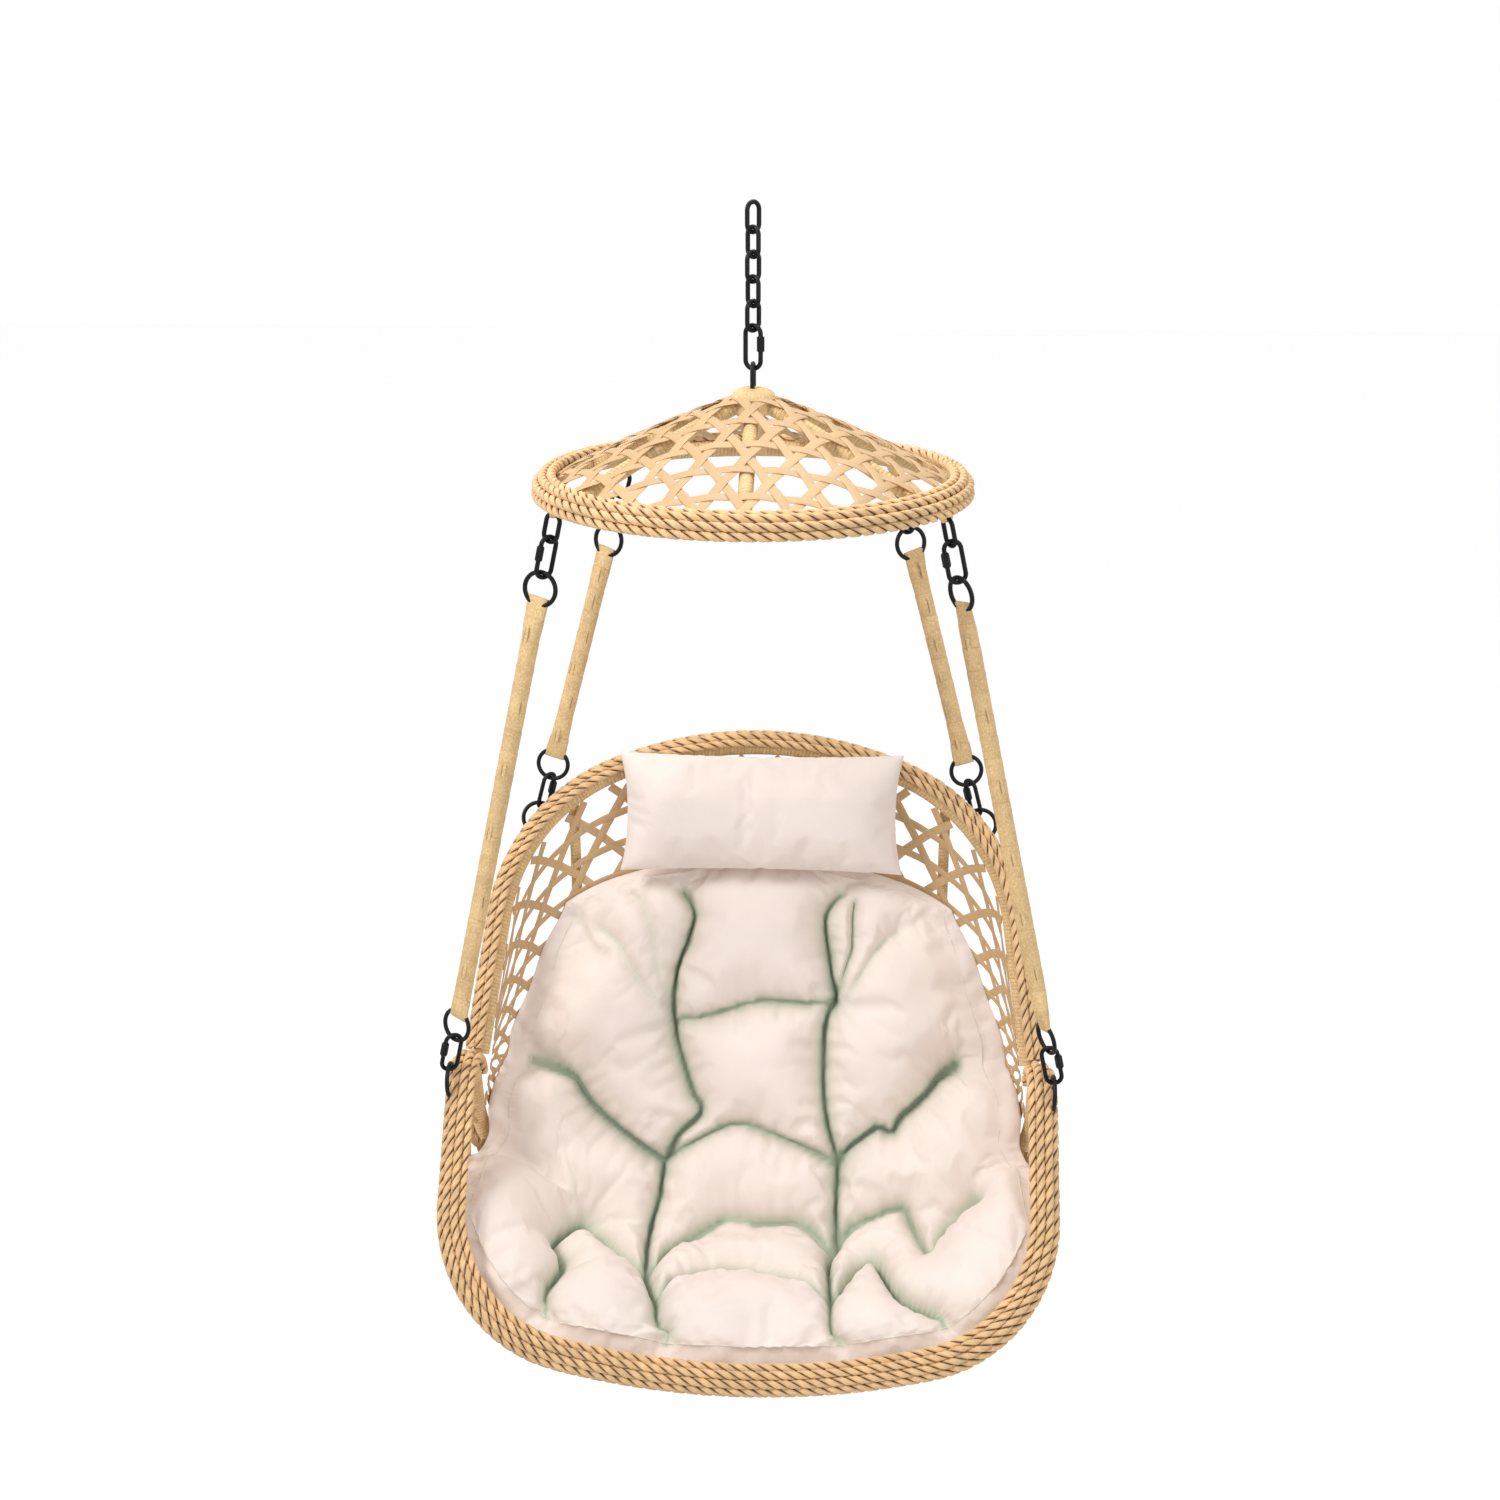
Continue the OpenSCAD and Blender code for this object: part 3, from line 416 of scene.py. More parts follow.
def cushion_cloth(look, name):
    """Fine plain-weave polyester, slightly crumpled, with painted greenish shade in the valleys of the folds
    and a painted dark green shade line along each sewn line.
    """
    f = Finish(name)
    base = tuple(look.colour)
    split = f.node("ShaderNodeSeparateXYZ", {0: f.place})
    x, y, z = (Wire(f, socket) for socket in split.outputs)
    across = ((x + y * 0.3) * 4200.0).wave()
    up = ((z - y * 0.6) * 4200.0).wave()
    slub = f.noise(f.scaled(f.place, (180.0, 900.0, 900.0)), 1.0, 3.0)
    crumple = f.noise(f.place, 34.0, 4.0, 0.6)
    colour = f.patches(base, 9.0, 0.3, 0.7, 0.965, 1.03, 0.55)
    colour = f.mix(f.ramp(slub, 0.5, 0.7) * 0.10, colour, shade(base, 0.88))
    # painted shade: greenish grey in the crease valleys, then dark green right along the sewn lines
    colour = f.mix(f.ramp(f.tone, 0.0, 0.5), colour, (0.60, 0.62, 0.50))
    colour = f.mix(f.ramp(f.tone, 0.5, 1.0), colour, (0.09, 0.20, 0.12))
    f.set(Base_Color=colour, Roughness=0.82, Sheen_Weight=0.18, Sheen_Roughness=0.45)
    f.bump(crumple * 6.0 + across * up * 0.35 + slub * 0.4, 0.0005, 0.45)
    return f.mat


# ---- mesh helpers ----

class Path:
    """A line through space with an outward direction. A straight bar up Z is bent along it."""

    def __init__(self, points, outward, closed=False):
        p, u = np.array(points, float), np.array(outward, float)
        self.s = np.concatenate([[0.0], np.cumsum(np.linalg.norm(np.diff(p, axis=0), axis=1))])
        self.length = float(self.s[-1])
        t = np.gradient(p, self.s, axis=0)
        if closed:
            t[0] = t[-1] = p[1] - p[-2]
        t /= np.linalg.norm(t, axis=1)[:, None]
        u = u - (u * t).sum(1)[:, None] * t
        u /= np.linalg.norm(u, axis=1)[:, None]
        self.tracks = (p, u, np.cross(t, u))

    def bend(self, co):
        p, u, b = (np.stack([np.interp(co[:, 2], self.s, track[:, k]) for k in range(3)], 1)
                   for track in self.tracks)
        return p + co[:, 0:1] * u + co[:, 1:2] * b


def circle_section(radius, sides):
    return [(radius * math.cos(2 * math.pi * i / sides), radius * math.sin(2 * math.pi * i / sides))
            for i in range(sides)]


def strip_section(thick, width):
    """x is the thickness, y the width; the edges are rounded and the face is slightly crowned."""
    shares = ((0.5, -1), (0.95, -0.86), (1.15, -0.3), (1.15, 0.3), (0.95, 0.86), (0.5, 1))
    half = [(thick / 2 * x, width / 2 * y) for x, y in shares]
    return half + [(-x * 0.8, y) for x, y in reversed(half)]


def straight_bar(section, tall, steps, turn=0.0, off=0.0):
    """Sweeps a closed section up Z, turning it about Z on the way."""
    bm = bmesh.new()
    made = bmesh.ops.create_circle(bm, cap_ends=False, radius=1.0, segments=len(section))["verts"]
    for v, (x, y) in zip(made, section):
        v.co = (x + off, y, 0)
    bmesh.ops.spin(bm, geom=made + list(bm.edges), cent=(0, 0, 0), axis=(0, 0, 1),
                   dvec=(0, 0, tall / steps), angle=turn, steps=steps)
    return bm


def closed_up(bm):
    bmesh.ops.holes_fill(bm, edges=[e for e in bm.edges if e.is_boundary], sides=0)
    bmesh.ops.recalc_face_normals(bm, faces=bm.faces)


def get_points(mesh):
    co = np.empty(len(mesh.vertices) * 3, np.float32)
    mesh.vertices.foreach_get("co", co)
    return co.reshape(-1, 3).astype(float)


def put_points(mesh, co):
    mesh.vertices.foreach_set("co", co.astype(np.float32).ravel())
    mesh.update()


def note(mesh, name, kind, key, values):
    """Keeps a value for each point, which the materials read."""
    made = mesh.attributes.new(name, kind, "POINT")
    made.data.foreach_set(key, values.astype(np.float32).ravel())


def stand(mesh, material):
    """Puts a smooth mesh into the scene."""
    mesh.polygons.foreach_set("use_smooth", [True] * len(mesh.polygons))
    mesh.materials.append(material)
    piece = bpy.data.objects.new(mesh.name, mesh)
    bpy.context.scene.collection.objects.link(piece)
    return piece


class Piece:
    """Collects bars into one mesh, keeping where each point lay on its straight bar."""

    def __init__(self, name):
        self.name = name
        self.bm = bmesh.new()

    def add(self, bm, path=None, tone=1.0, shape=None, closed=False):
        """tone: a number or a function of the straight points; shape: moves the straight points first."""
        if not closed:
            closed_up(bm)
        mesh = bpy.data.meshes.new("bar")
        bm.to_mesh(mesh)
        bm.free()
        co = get_points(mesh)
        if shape:
            co = shape(co)
        note(mesh, "lay", "FLOAT_VECTOR", "vector", co)
        note(mesh, "tone", "FLOAT", "value", tone(co) if callable(tone) else np.full(len(co), tone))
        put_points(mesh, path.bend(co) if path else co)
        self.bm.from_mesh(mesh)
        bpy.data.meshes.remove(mesh)

    def done(self, material, body, nodes, weld=0.0):
        if weld:
            bmesh.ops.remove_doubles(self.bm, verts=self.bm.verts, dist=weld)
            bmesh.ops.recalc_face_normals(self.bm, faces=self.bm.faces)
        mesh = bpy.data.meshes.new(self.name)
        self.bm.to_mesh(mesh)
        self.bm.free()
        piece = stand(mesh, material)
        mesh.set_sharp_from_angle(angle=math.radians(40))
        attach(piece, body)
        if nodes:
            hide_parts(*nodes)


# ---- rows: half lines in a plane as (x, s, outward x, outward s), then their points in space ----

def arc(cx, cy, radius, a0, a1, steps):
    angles = [a0 + (a1 - a0) * i / steps for i in range(steps + 1)]
    return [(cx + radius * math.cos(a), cy + radius * math.sin(a), math.cos(a), math.sin(a)) for a in angles]


def both_sides(points, outward):
    """Joins a right half, which starts at the middle, to its mirror image on the left."""
    left = [(-p[0], p[1], p[2]) for p in reversed(points[1:])]
    left_out = [(-u[0], u[1], u[2]) for u in reversed(outward[1:])]
    return left + points, left_out + outward


def place_row(make, flat, n):
    """Points and outward directions of a half line in the plane that make() places."""
    foot = np.array(make(0, 0, 0))
    return [make(x, s, n) for x, s, *_ in flat], [tuple(make(a, b, 0) - foot) for *_, a, b in flat]


def bottom_half(o):
    """The bottom and the corner of the seat hoop, from the middle to the leg, moved out by o."""
    flat = arc(0, BOW_R, BOW_R + o, -math.pi / 2, -math.pi / 2 + BOW, 14)
    return flat + arc(HOOP_W - HOOP_RC, CORNER_S, HOOP_RC + o, -math.pi / 2 + BOW, 0, 28)[1:]


def seat_row(o, n, rear):
    """Right half of a row on the seat hoop; rear is how far it goes on down behind, as an angle."""
    flat = bottom_half(o)
    flat += [(HOOP_W + o, CORNER_S + (FRONT_LEG - CORNER_S) * i / 8, 1, 0) for i in range(1, 9)]
    points, outward = place_row(front_pt, flat, n)
    turn = arc(*BEND_C, ARM_BEND + n, math.pi - FRONT_TILT, REAR_TILT, 18)[1:]
    points += [(HOOP_W + o, y, z) for y, z, *_ in turn]
    outward += [(1, 0, 0)] * len(turn)
    if rear:
        flat = [(HOOP_W + o, s, 1, 0) for s in (REAR_LEG - 0.01, CORNER_S)]
        flat += arc(HOOP_W - HOOP_RC, CORNER_S, HOOP_RC + o, 0, -rear, 20)[1:]
        more = place_row(rear_pt, flat, n)
        points, outward = points + more[0], outward + more[1]
    return points, outward


def rear_row():
    """Right half of the seat hoop's rear run, from the middle to the armrest loop."""
    return place_row(rear_pt, bottom_half(0) + [(HOOP_W, REAR_LEG, 1, 0)], 0)


def clear_of_loop(p):
    """True while a row on the back arch is outside the roped armrest loop."""
    ring = math.hypot(p[1] - BEND_C[0], p[2] - BEND_C[1]) - ARM_BEND
    return math.hypot(ring, abs(p[0]) - HOOP_W) > ROPE_OUT + ROPE + GAP


def arch_row(o, n):
    """Right half of a row on the back arch, down to the armrest loop."""
    flat = arc(0, ARCH_H - TOP_R, TOP_R + o, math.pi / 2, math.pi / 2 - TOP_A, 14)
    flat += arc(ARCH_CX, ARCH_CS, SIDE_R + o, math.pi / 2 - TOP_A, math.pi / 2 - LEG_A, 30)[1:]
    sin, cos = math.sin(LEG_A), math.cos(LEG_A)
    x0, s0 = ARCH_LEG0[0] + o * sin, ARCH_LEG0[1] + o * cos
    flat += [(x0 + k * cos, s0 - k * sin, sin, cos) for k in np.linspace(0, ARCH_LEG_LEN, 61)[1:]]
    points, outward = place_row(arch_pt, flat, n)
    keep = next((i for i, p in enumerate(points) if not clear_of_loop(p)), len(points))
    return points[:keep], outward[:keep]


def whole(half):
    return Path(*both_sides(*half))


def rim_path(o, n, steps=180):
    angles = [2 * math.pi * i / steps for i in range(steps + 1)]
    return Path([((RIM_R + o) * math.sin(a), -(RIM_R + o) * math.cos(a), RIM_Z + n) for a in angles],
                [(math.sin(a), -math.cos(a), 0) for a in angles], closed=True)


def rope_rows(count, first, step):
    """Number and place, out and up, of each rope row round a tube, from the first angle on."""
    for i in range(count):
        a = math.radians(first + step * i)
        yield i, ROPE_OUT * math.cos(a), ROPE_OUT * math.sin(a)


def add_rope(piece, path, rope, seed, closed=False):
    """Two strands twisted together along a path."""
    rnd = random.Random(seed)
    turns = max(1, round(path.length / rope.lay))
    section = [tuple(math.copysign(abs(c) ** 0.67, c) * rope.strand * k for c, k in zip(point, (0.95, 1.5)))
               for point in circle_section(1.0, rope.sides)]
    start = rnd.uniform(0, math.pi)
    for k in (0, 1):
        bm = straight_bar(section, path.length, turns * 12, turns * 2 * math.pi, ROPE * 0.5)
        turn = Matrix.Rotation(start + k * math.pi, 3, "Z")
        bmesh.ops.rotate(bm, verts=bm.verts, cent=(0, 0, 0), matrix=turn)
        level = rnd.uniform(0.88, 1.0)
        wander = [rnd.uniform(-1, 1) for _ in range(turns + 2)]

        def shape(co, wander=wander):
            where = co[:, 2] / path.length * (len(wander) - 1)
            swell = np.interp(where, range(len(wander)), wander)
            if closed:
                swell *= np.sin(np.pi * co[:, 2] / path.length)
            co[:, :2] *= (1 + 0.035 * swell)[:, None]
            return co

        # painted shade: a strand darkens where it lies close to the rope's middle, in the groove between the
        # two strands; level gives each strand a random tone
        def tone(co, level=level):
            reach = np.hypot(co[:, 0], co[:, 1])
            return level * np.clip((reach - 0.0036) / (ROPE * 0.36), 0, 1)

        piece.add(bm, path, tone, shape, closed)


# rows of points in one turn of a winding, which are the groove and the two edges of the band:
# how far each moves along, as a share of the step, and how deep it lies, as a share of the groove
CANE_BAND = ((0.0, 1.0), (-0.62, 0.0), (0.62, 0.0))
TAPE_BAND = ((0.0, 1.0), (-0.93, 0.0), (0.9, 0.9))


def add_winding(piece, path, radius, pitch, slant, seed, closed=False, sides=16, groove=0.0005, tape=False,
                mould=None):
    """A tube closely wound with flat tape; each turn is a slanted band with a groove between."""
    rnd = random.Random(seed)
    turns = max(1, round(path.length / pitch))
    band = np.array(TAPE_BAND if tape else CANE_BAND)
    per = len(band)
    bm = straight_bar(circle_section(radius, sides), path.length, turns * per)
    step = path.length / (turns * per)
    jitter = np.array([rnd.uniform(-0.3, 0.3) for _ in range(turns + 1)])
    level = np.array([rnd.uniform(0.86, 1.0) for _ in range(turns + 1)])
    rows = np.rint(np.array([v.co.z for v in bm.verts]) / step).astype(int)

    def shape(co):
        shift, low = band[rows % per].T
        new = co.copy()
        new[:, :2] *= (1 - low * groove / radius)[:, None]
        lean = slant * new[:, 0] + 0.3 * slant * new[:, 1]
        free = (rows > 0) & (rows < turns * per)
        new[:, 2] += free * (shift * step + lean + jitter[rows // per] * pitch * 0.12)
        new[:, 2] = np.clip(new[:, 2], 0, path.length)
        return mould(new) if mould else new

    # painted shade: the groove row between turns gets a low value (0.35 on cane, 0.6 on tape); the other rows
    # take a random tone for their turn
    def tone(_):
        return np.where(rows % per == 0, 0.6 if tape else 0.35, level[rows // per])

    piece.add(bm, path, tone, shape, closed)


def lattice(reach_u, reach_v, gap, inside, step=0.008):
    """Three ways of straight strips, each over the next way and under the one before.
    Yields [(u, v, lift)] for each run that lies inside."""
    normals = [(math.cos(math.radians(a)), math.sin(math.radians(a))) for a in (90, 150, 210)]
    span = math.hypot(reach_u, reach_v)
    for way, n in enumerate(normals):
        along = (n[1], -n[0])
        nxt = normals[(way + 1) % 3]
        count = int(span / gap) + 2
        for j in range(-count, count + 1):
            line = (j + 0.5) * gap
            run = []
            steps = int(2 * span / step)
            for i in range(steps + 1):
                t = -span + 2 * span * i / steps
                u, v = n[0] * line + along[0] * t, n[1] * line + along[1] * t
                if inside(u, v):
                    lift = -math.cos(2 * math.pi * (u * nxt[0] + v * nxt[1]) / gap)
                    run.append((u, v, lift))
                elif run:
                    if len(run) > 4:
                        yield run
                    run = []
            if len(run) > 4:
                yield run


def strip_path(run, at, lift):
    """at(u, v, d) gives a point of the surface moved out by d. Also gives how much a strip is squeezed."""
    e = 0.002
    points, outward, squeeze = [], [], []
    (u0, v0, _), (u1, v1, _) = run[0], run[-1]
    size = math.hypot(u1 - u0, v1 - v0)
    tu, tv = (u1 - u0) / size * e, (v1 - v0) / size * e
    for u, v, k in run:
        points.append(Vector(at(u, v, k * lift)))
        du = Vector(at(u + e, v, 0)) - Vector(at(u - e, v, 0))
        dv = Vector(at(u, v + e, 0)) - Vector(at(u, v - e, 0))
        outward.append(du.cross(dv))
        along = (Vector(at(u + tu, v + tv, 0)) - Vector(at(u - tu, v - tv, 0))).normalized()
        wide = Vector(at(u - tv, v + tu, 0)) - Vector(at(u + tv, v - tu, 0))
        squeeze.append(min(1.0, max(0.42, (wide - along * wide.dot(along)).length / (2 * e) * 1.04)))
    return Path(points, outward), squeeze


def add_strips(piece, runs, at, weave, lift, seed):
    rnd = random.Random(seed)
    section = strip_section(weave.strip_thick, weave.strip_width)
    for run in runs:
        path, squeeze = strip_path(run, at, lift)
        bm = straight_bar(section, path.length, len(run) - 1)
        level = rnd.uniform(0.72, 1.0)

        def shape(co, path=path, squeeze=squeeze):
            co[:, 1] *= np.interp(co[:, 2], path.s, squeeze)
            return co
        piece.add(bm, path, level, shape)


def net(surf, half, tall, weave, reach):
    """Fits the lattice to a bowl surface: whole rows of openings up it, whole columns across."""
    rows = round(tall / weave.basket_gap)
    gap, width = weave.basket_gap, weave.strip_width
    edge = width * 0.75 + (gap - width) / math.sqrt(3)
    count = 2 * round((half - edge) * math.sqrt(3) / 2 / gap)
    across = 2 * (half - edge) / count / (2 * gap / math.sqrt(3)) / half

    def flat(u, v):
        return u * across, (v / gap + 0.5) / rows

    def inside(u, v):
        a, b = flat(u, v)
        return abs(a) < 1 and 0.001 < b < 0.999

    def at(u, v, d):
        a, b = flat(u, v)
        return surf(reach * min(1.0, max(-1.0, a)), min(1.0, max(0.0, b)), d)
    return lattice(1 / across, tall, gap, inside), at


def line_frame(side, front, turn):
    """A hanging line: its top under the tab, its pivot, its direction, the across direction of a part that
    is turned by turn degrees, and the way from the pivot to the hook."""
    a = FRONT_TAB_A if front else REAR_TAB_A
    top = Vector((RIM_R * math.cos(a), RIM_R * math.sin(a), LUG_Z))
    if front:
        hook = Vector((HOOP_W + TUBE + WIRE + 0.00025, top.y, BEND_C[1] + ARM_RING_UP + RING_R))
    else:
        x = ARCH_CX + ARCH_RING_OUT * math.cos(ARCH_RING_A) - RING_R * math.sin(ARCH_RING_LEAN)
        s = ARCH_CS + ARCH_RING_OUT * math.sin(ARCH_RING_A) + RING_R * math.cos(ARCH_RING_LEAN)
        hook = Vector(arch_pt(x, s, -(TUBE + WIRE + GAP)))
    down = (hook - top).normalized()
    pivot = top + down * (LINK_IN + WIRE)
    reach = (hook - pivot).length
    tip, lean = -math.atan2(down.x, -down.z), math.asin(down.y)
    across = Vector((math.cos(tip), 0, -math.sin(tip)))
    other = Vector((math.sin(tip) * math.sin(lean), math.cos(lean), math.cos(tip) * math.sin(lean)))
    turn = math.radians(turn)
    wide = across * math.cos(turn) + other * math.sin(turn)
    if side < 0:
        for v in (top, pivot, down, wide):
            v.x = -v.x
    return top, pivot, down, wide, reach


def straight_path(start, end, outward, steps=60):
    return Path([start + (end - start) * (i / steps) for i in range(steps + 1)], [outward] * (steps + 1))


def bent_rod(x, p, q, bulge, steps=40):
    """An arc in the plane x, from p to q in (y, z), bulging to the right of the way from q to p."""
    p, q = Vector(p), Vector(q)
    chord = (q - p).length
    radius = (chord * chord / 4 + bulge * bulge) / (2 * bulge)
    along = (q - p) / chord
    side = Vector((along.y, -along.x))
    centre = (p + q) / 2 - side * (radius - bulge)
    half = math.asin(chord / 2 / radius)
    points = []
    for i in range(steps + 1):
        a = -half + 2 * half * i / steps
        points.append((x, *(centre + side * radius * math.cos(a) + along * radius * math.sin(a))))
    return Path(points, [(1, 0, 0)] * len(points))


def foot_s(x):
    """Height up its own plane at which the seat hoop stands at x."""
    if x < BOW_R * math.sin(BOW):
        return BOW_R - math.sqrt(BOW_R ** 2 - x ** 2)
    return CORNER_S - math.sqrt(HOOP_RC ** 2 - (x - (HOOP_W - HOOP_RC)) ** 2)


# an arm's end: distance from it, half width across the ring's wire and half width along it
FLARE = ((0.0, 0.0165, 0.0012), (0.0012, 0.0190, 0.0040), (0.004, 0.0205, 0.0060), (0.010, 0.0208, 0.0066),
         (0.024, 0.0188, 0.0084), (0.040, 0.0158, 0.0118), (0.058, 0.01405, 0.01405))


def flare(co, path, wide):
    """Widens the ends of a straight arm, each across the direction of its own ring."""
    new = co.copy()
    dist, across, along = np.array(FLARE).T
    for gap, direction in zip((co[:, 2], path.length - co[:, 2]), wide):
        near = gap < dist[-1]
        u = np.array([track[0] @ np.array(direction) for track in path.tracks[1:]])
        u /= np.linalg.norm(u)
        a = (co[:, 0] * u[0] + co[:, 1] * u[1]) * np.interp(gap, dist, across) / TUBE
        b = (-co[:, 0] * u[1] + co[:, 1] * u[0]) * np.interp(gap, dist, along) / TUBE
        new[near, 0] = (a * u[0] - b * u[1])[near]
        new[near, 1] = (a * u[1] + b * u[0])[near]
    return new


# ---- operators ----

def settings():
    return bpy.context.scene.egg_chair


LINE_PARTS = ("upper_link", "upper_sleeve", "upper_ring", "lower_ring", "lower_link", "lower_sleeve")
HARDWARE = ["link_%d" % i for i in range(1, 6)]
HARDWARE += ["top_link", "top_sleeve", "canopy_eye", "tab_links", "arm_rings", "back_rings"]
HARDWARE += [line + "_" + part for line in LINES for part in LINE_PARTS]


class EGG_OT_hardware(bpy.types.Operator):
    """Paints the chain, links, sleeves and rings of the frame"""
    bl_idname = "egg_chair.hardware"
    bl_label = "Black hardware"

    def execute(self, context):
        paint = black_paint(settings().metal)
        for node in HARDWARE:
            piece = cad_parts[node]
            piece.data.materials.clear()
            piece.data.materials.append(paint)
        return {"FINISHED"}


# the hub's outline from the top down, in mm: radius, height from the apex
HUB = ((1, 2.2), (8, 2.0), (15, 0.8), (21, -1.2), (27, -4.5), (31.5, -8.5), (33.5, -13.0), (33.8, -16.5),
       (33.2, -20.0), (33.8, -23.5), (33.2, -27.0), (33.8, -30.5), (32.5, -34.5), (29, -38.5), (15, -39.0),
       (1, -39.0))


class EGG_OT_tubes(bpy.types.Operator):
    """Winds the canopy rim, ribs and hub, the hoops and the ribs of the basket"""
    bl_idname = "egg_chair.tubes"
    bl_label = "Wrapped tubes"

    def execute(self, context):
        tube = settings().tube
        finish = wrapped_cane(tube, "wrapped_cane")

        def wound(node, body, runs, slant=0.12, wind=tube.wind, weld=0.0, **more):
            """One piece in place of a node; each run is its seed, radius and path."""
            piece = Piece(node + "_wrapped")
            for seed, radius, path in runs:
                add_winding(piece, path, radius, wind, slant, seed, **more)
            piece.done(finish, body, [node], weld)

        wound("canopy_rim", "canopy", [(11, TUBE, rim_path(0, 0))], weld=0.0004, closed=True, sides=20)
        hoop = (12, TUBE - 0.0002, whole(seat_row(0, 0, 0))), (13, TUBE, whole(rear_row()))
        wound("seat_hoop", "basket", hoop)
        wound("back_arch", "basket", [(14, TUBE, whole(arch_row(0, 0)))])

        rho = DOME_RHO - 0.003 - GAP - RIB_R
        a0, a1 = (math.acos((x - DOME_C[0]) / rho) for x in (RIM_R - 0.012, 0.026))
        line = arc(*DOME_C, rho, a0, a1, 30)
        runs = []
        for k in range(6):
            t = math.radians(60 * k - 90)
            points = [(r * math.cos(t), r * math.sin(t), z) for r, z, *_ in line]
            runs.append((80 + k, RIB_R, Path(points, [(-math.sin(t), math.cos(t), 0)] * len(line))))
        wound("canopy_ribs", "canopy", runs, 0.16, tube.wind * 1.1)

        x = BACK_RIB_X
        top_s = ARCH_CS + math.sqrt(SIDE_R ** 2 - (x - ARCH_CX) ** 2)
        ends = rear_pt(0, foot_s(x) + 0.004, 0.012)[1:], arch_pt(0, top_s - 0.004, -0.012)[1:]
        wound("back_ribs", "basket", [(90 + k, ROD_R, bent_rod(k * x, *ends, 0.062)) for k in (-1, 1)], 0.2)

        x = SEAT_RIB_X
        p, q = front_pt(0, foot_s(x), 0)[1:], rear_pt(0, foot_s(x), 0)[1:]
        ends = (p[0] + 0.008, p[1] - 0.021), (q[0] - 0.0066, q[1] - 0.0215)
        wound("seat_ribs", "basket", [(94 + k, ROD_R, bent_rod(k * x, *ends, 0.014)) for k in (-1, 1)], 0.2)

        hub = Piece("canopy_hub_wrapped")
        bm = bmesh.new()
        row = [bm.verts.new((r / 1000, 0, APEX_Z + z / 1000)) for r, z in HUB]
        edges = [bm.edges.new(pair) for pair in zip(row, row[1:])]
        bmesh.ops.spin(bm, geom=row + edges, cent=(0, 0, 0), axis=(0, 0, 1), angle=2 * math.pi, steps=48,
                       use_merge=True)
        for v in bm.verts:
            a = math.atan2(v.co.y, v.co.x)
            v.co.z += 0.0009 * math.sin(3 * a + v.co.z * 90) * (1 if v.co.z < APEX_Z - 0.002 else 0.3)
            v.co.xy *= 1 + 0.012 * math.sin(11 * a + v.co.z * 260)
        hub.add(bm)
        hub.done(finish, "canopy", ["canopy_hub"])

        tabs = Piece("canopy_tabs_wrapped")
        for side, front, turn, *_ in LINES.values():
            top, _, down, wide, _ = line_frame(side, front, turn + 90)
            path = straight_path(top - down * TAB_UP, top + down * TAB_DOWN, wide, 24)

            def strap(co, path=path):
                k = co[:, 2] / path.length
                co[:, 0] *= np.interp(k, [0, 0.45, 0.85, 0.96, 1], [1.25, 1.0, 0.82, 0.66, 0.42])
                co[:, 1] *= np.interp(k, [0, 0.5, 0.8, 0.94, 1], [1.0, 0.9, 1.15, 0.9, 0.3])
                return co
            section = [(x * 0.0128, y * 0.0050) for x, y in circle_section(1.0, 20)]
            tabs.add(straight_bar(section, path.length, 24), path, shape=strap)
        tabs.done(finish, "canopy", ["canopy_tabs"])
        return {"FINISHED"}


def add_tucks(piece, start, end, seed):
    """Short ends of tape tucked under the wrap: thin raised flaps, with painted shadow along the open edge.
    """
    rnd = random.Random(seed)
    count = 6
    axis = (end - start).normalized()
    for k in range(count):
        middle = start.lerp(end, (k + 0.7 + rnd.uniform(-0.15, 0.15)) / (count + 0.6))
        a = math.radians(rnd.uniform(-50, 50))
        out = Vector((math.sin(a), -math.cos(a), 0))
        out = (out - axis * out.dot(axis)).normalized()
        half = axis * rnd.uniform(0.012, 0.016)
        middle += out * (TUBE - 0.0001)
        path = straight_path(middle - half, middle + half, out, 8)
        bm = straight_bar(strip_section(0.0011, 0.0075), path.length, 8)

        def lens(co, path=path):
            k = co[:, 2] / path.length
            co[:, 1] *= np.interp(k, [0, 0.12, 0.5, 0.88, 1], [0.35, 0.85, 1.0, 0.9, 0.45])
            co[:, 0] *= np.interp(k, [0, 0.2, 0.8, 1], [0.3, 1.0, 1.0, 0.3])
            return co

        # painted shadow: darkest along the open edge of the flap, partly dark along the other edge
        def edge(co):
            return np.where(co[:, 1] > 0.0028, 0.0, np.where(co[:, 1] < -0.0032, 0.55, 0.95))
        piece.add(bm, path, edge, lens)


class EGG_OT_arms(bpy.types.Operator):
    """Wraps the four hanging arms, which flare over the wire of a ring at each end"""
    bl_idname = "egg_chair.arms"
    bl_label = "Hanging arms"

    def execute(self, context):
        tube = settings().tube
        finish = wrapped_cane(tube, "arm_tape")
        grip = RING_R - RING_IN_ARM
        for i, (name, (side, front, _, upper, lower)) in enumerate(LINES.items()):
            _, pivot, down, wide_top, reach = line_frame(side, front, upper)
            wide_low = line_frame(side, front, lower)[3]
            ring_low = reach + HOOK_GAP + 2 * WIRE - QL_IN + GAP - RING_R
            start, end = pivot + down * (RING_T + grip), pivot + down * (ring_low - grip)
            path = straight_path(start, end, Vector((0, 1, 0)))
            piece = Piece(name + "_arm_wrapped")

            def mould(co, path=path, wide=(wide_top, wide_low)):
                return flare(co, path, wide)
            add_winding(piece, path, TUBE, tube.tape, 0.28, 100 + i, sides=28, groove=0.0006, tape=True,
                        mould=mould)
            add_tucks(piece, start, end, 200 + i)
            piece.done(finish, name + "_strut", [name + "_arm"])
        return {"FINISHED"}


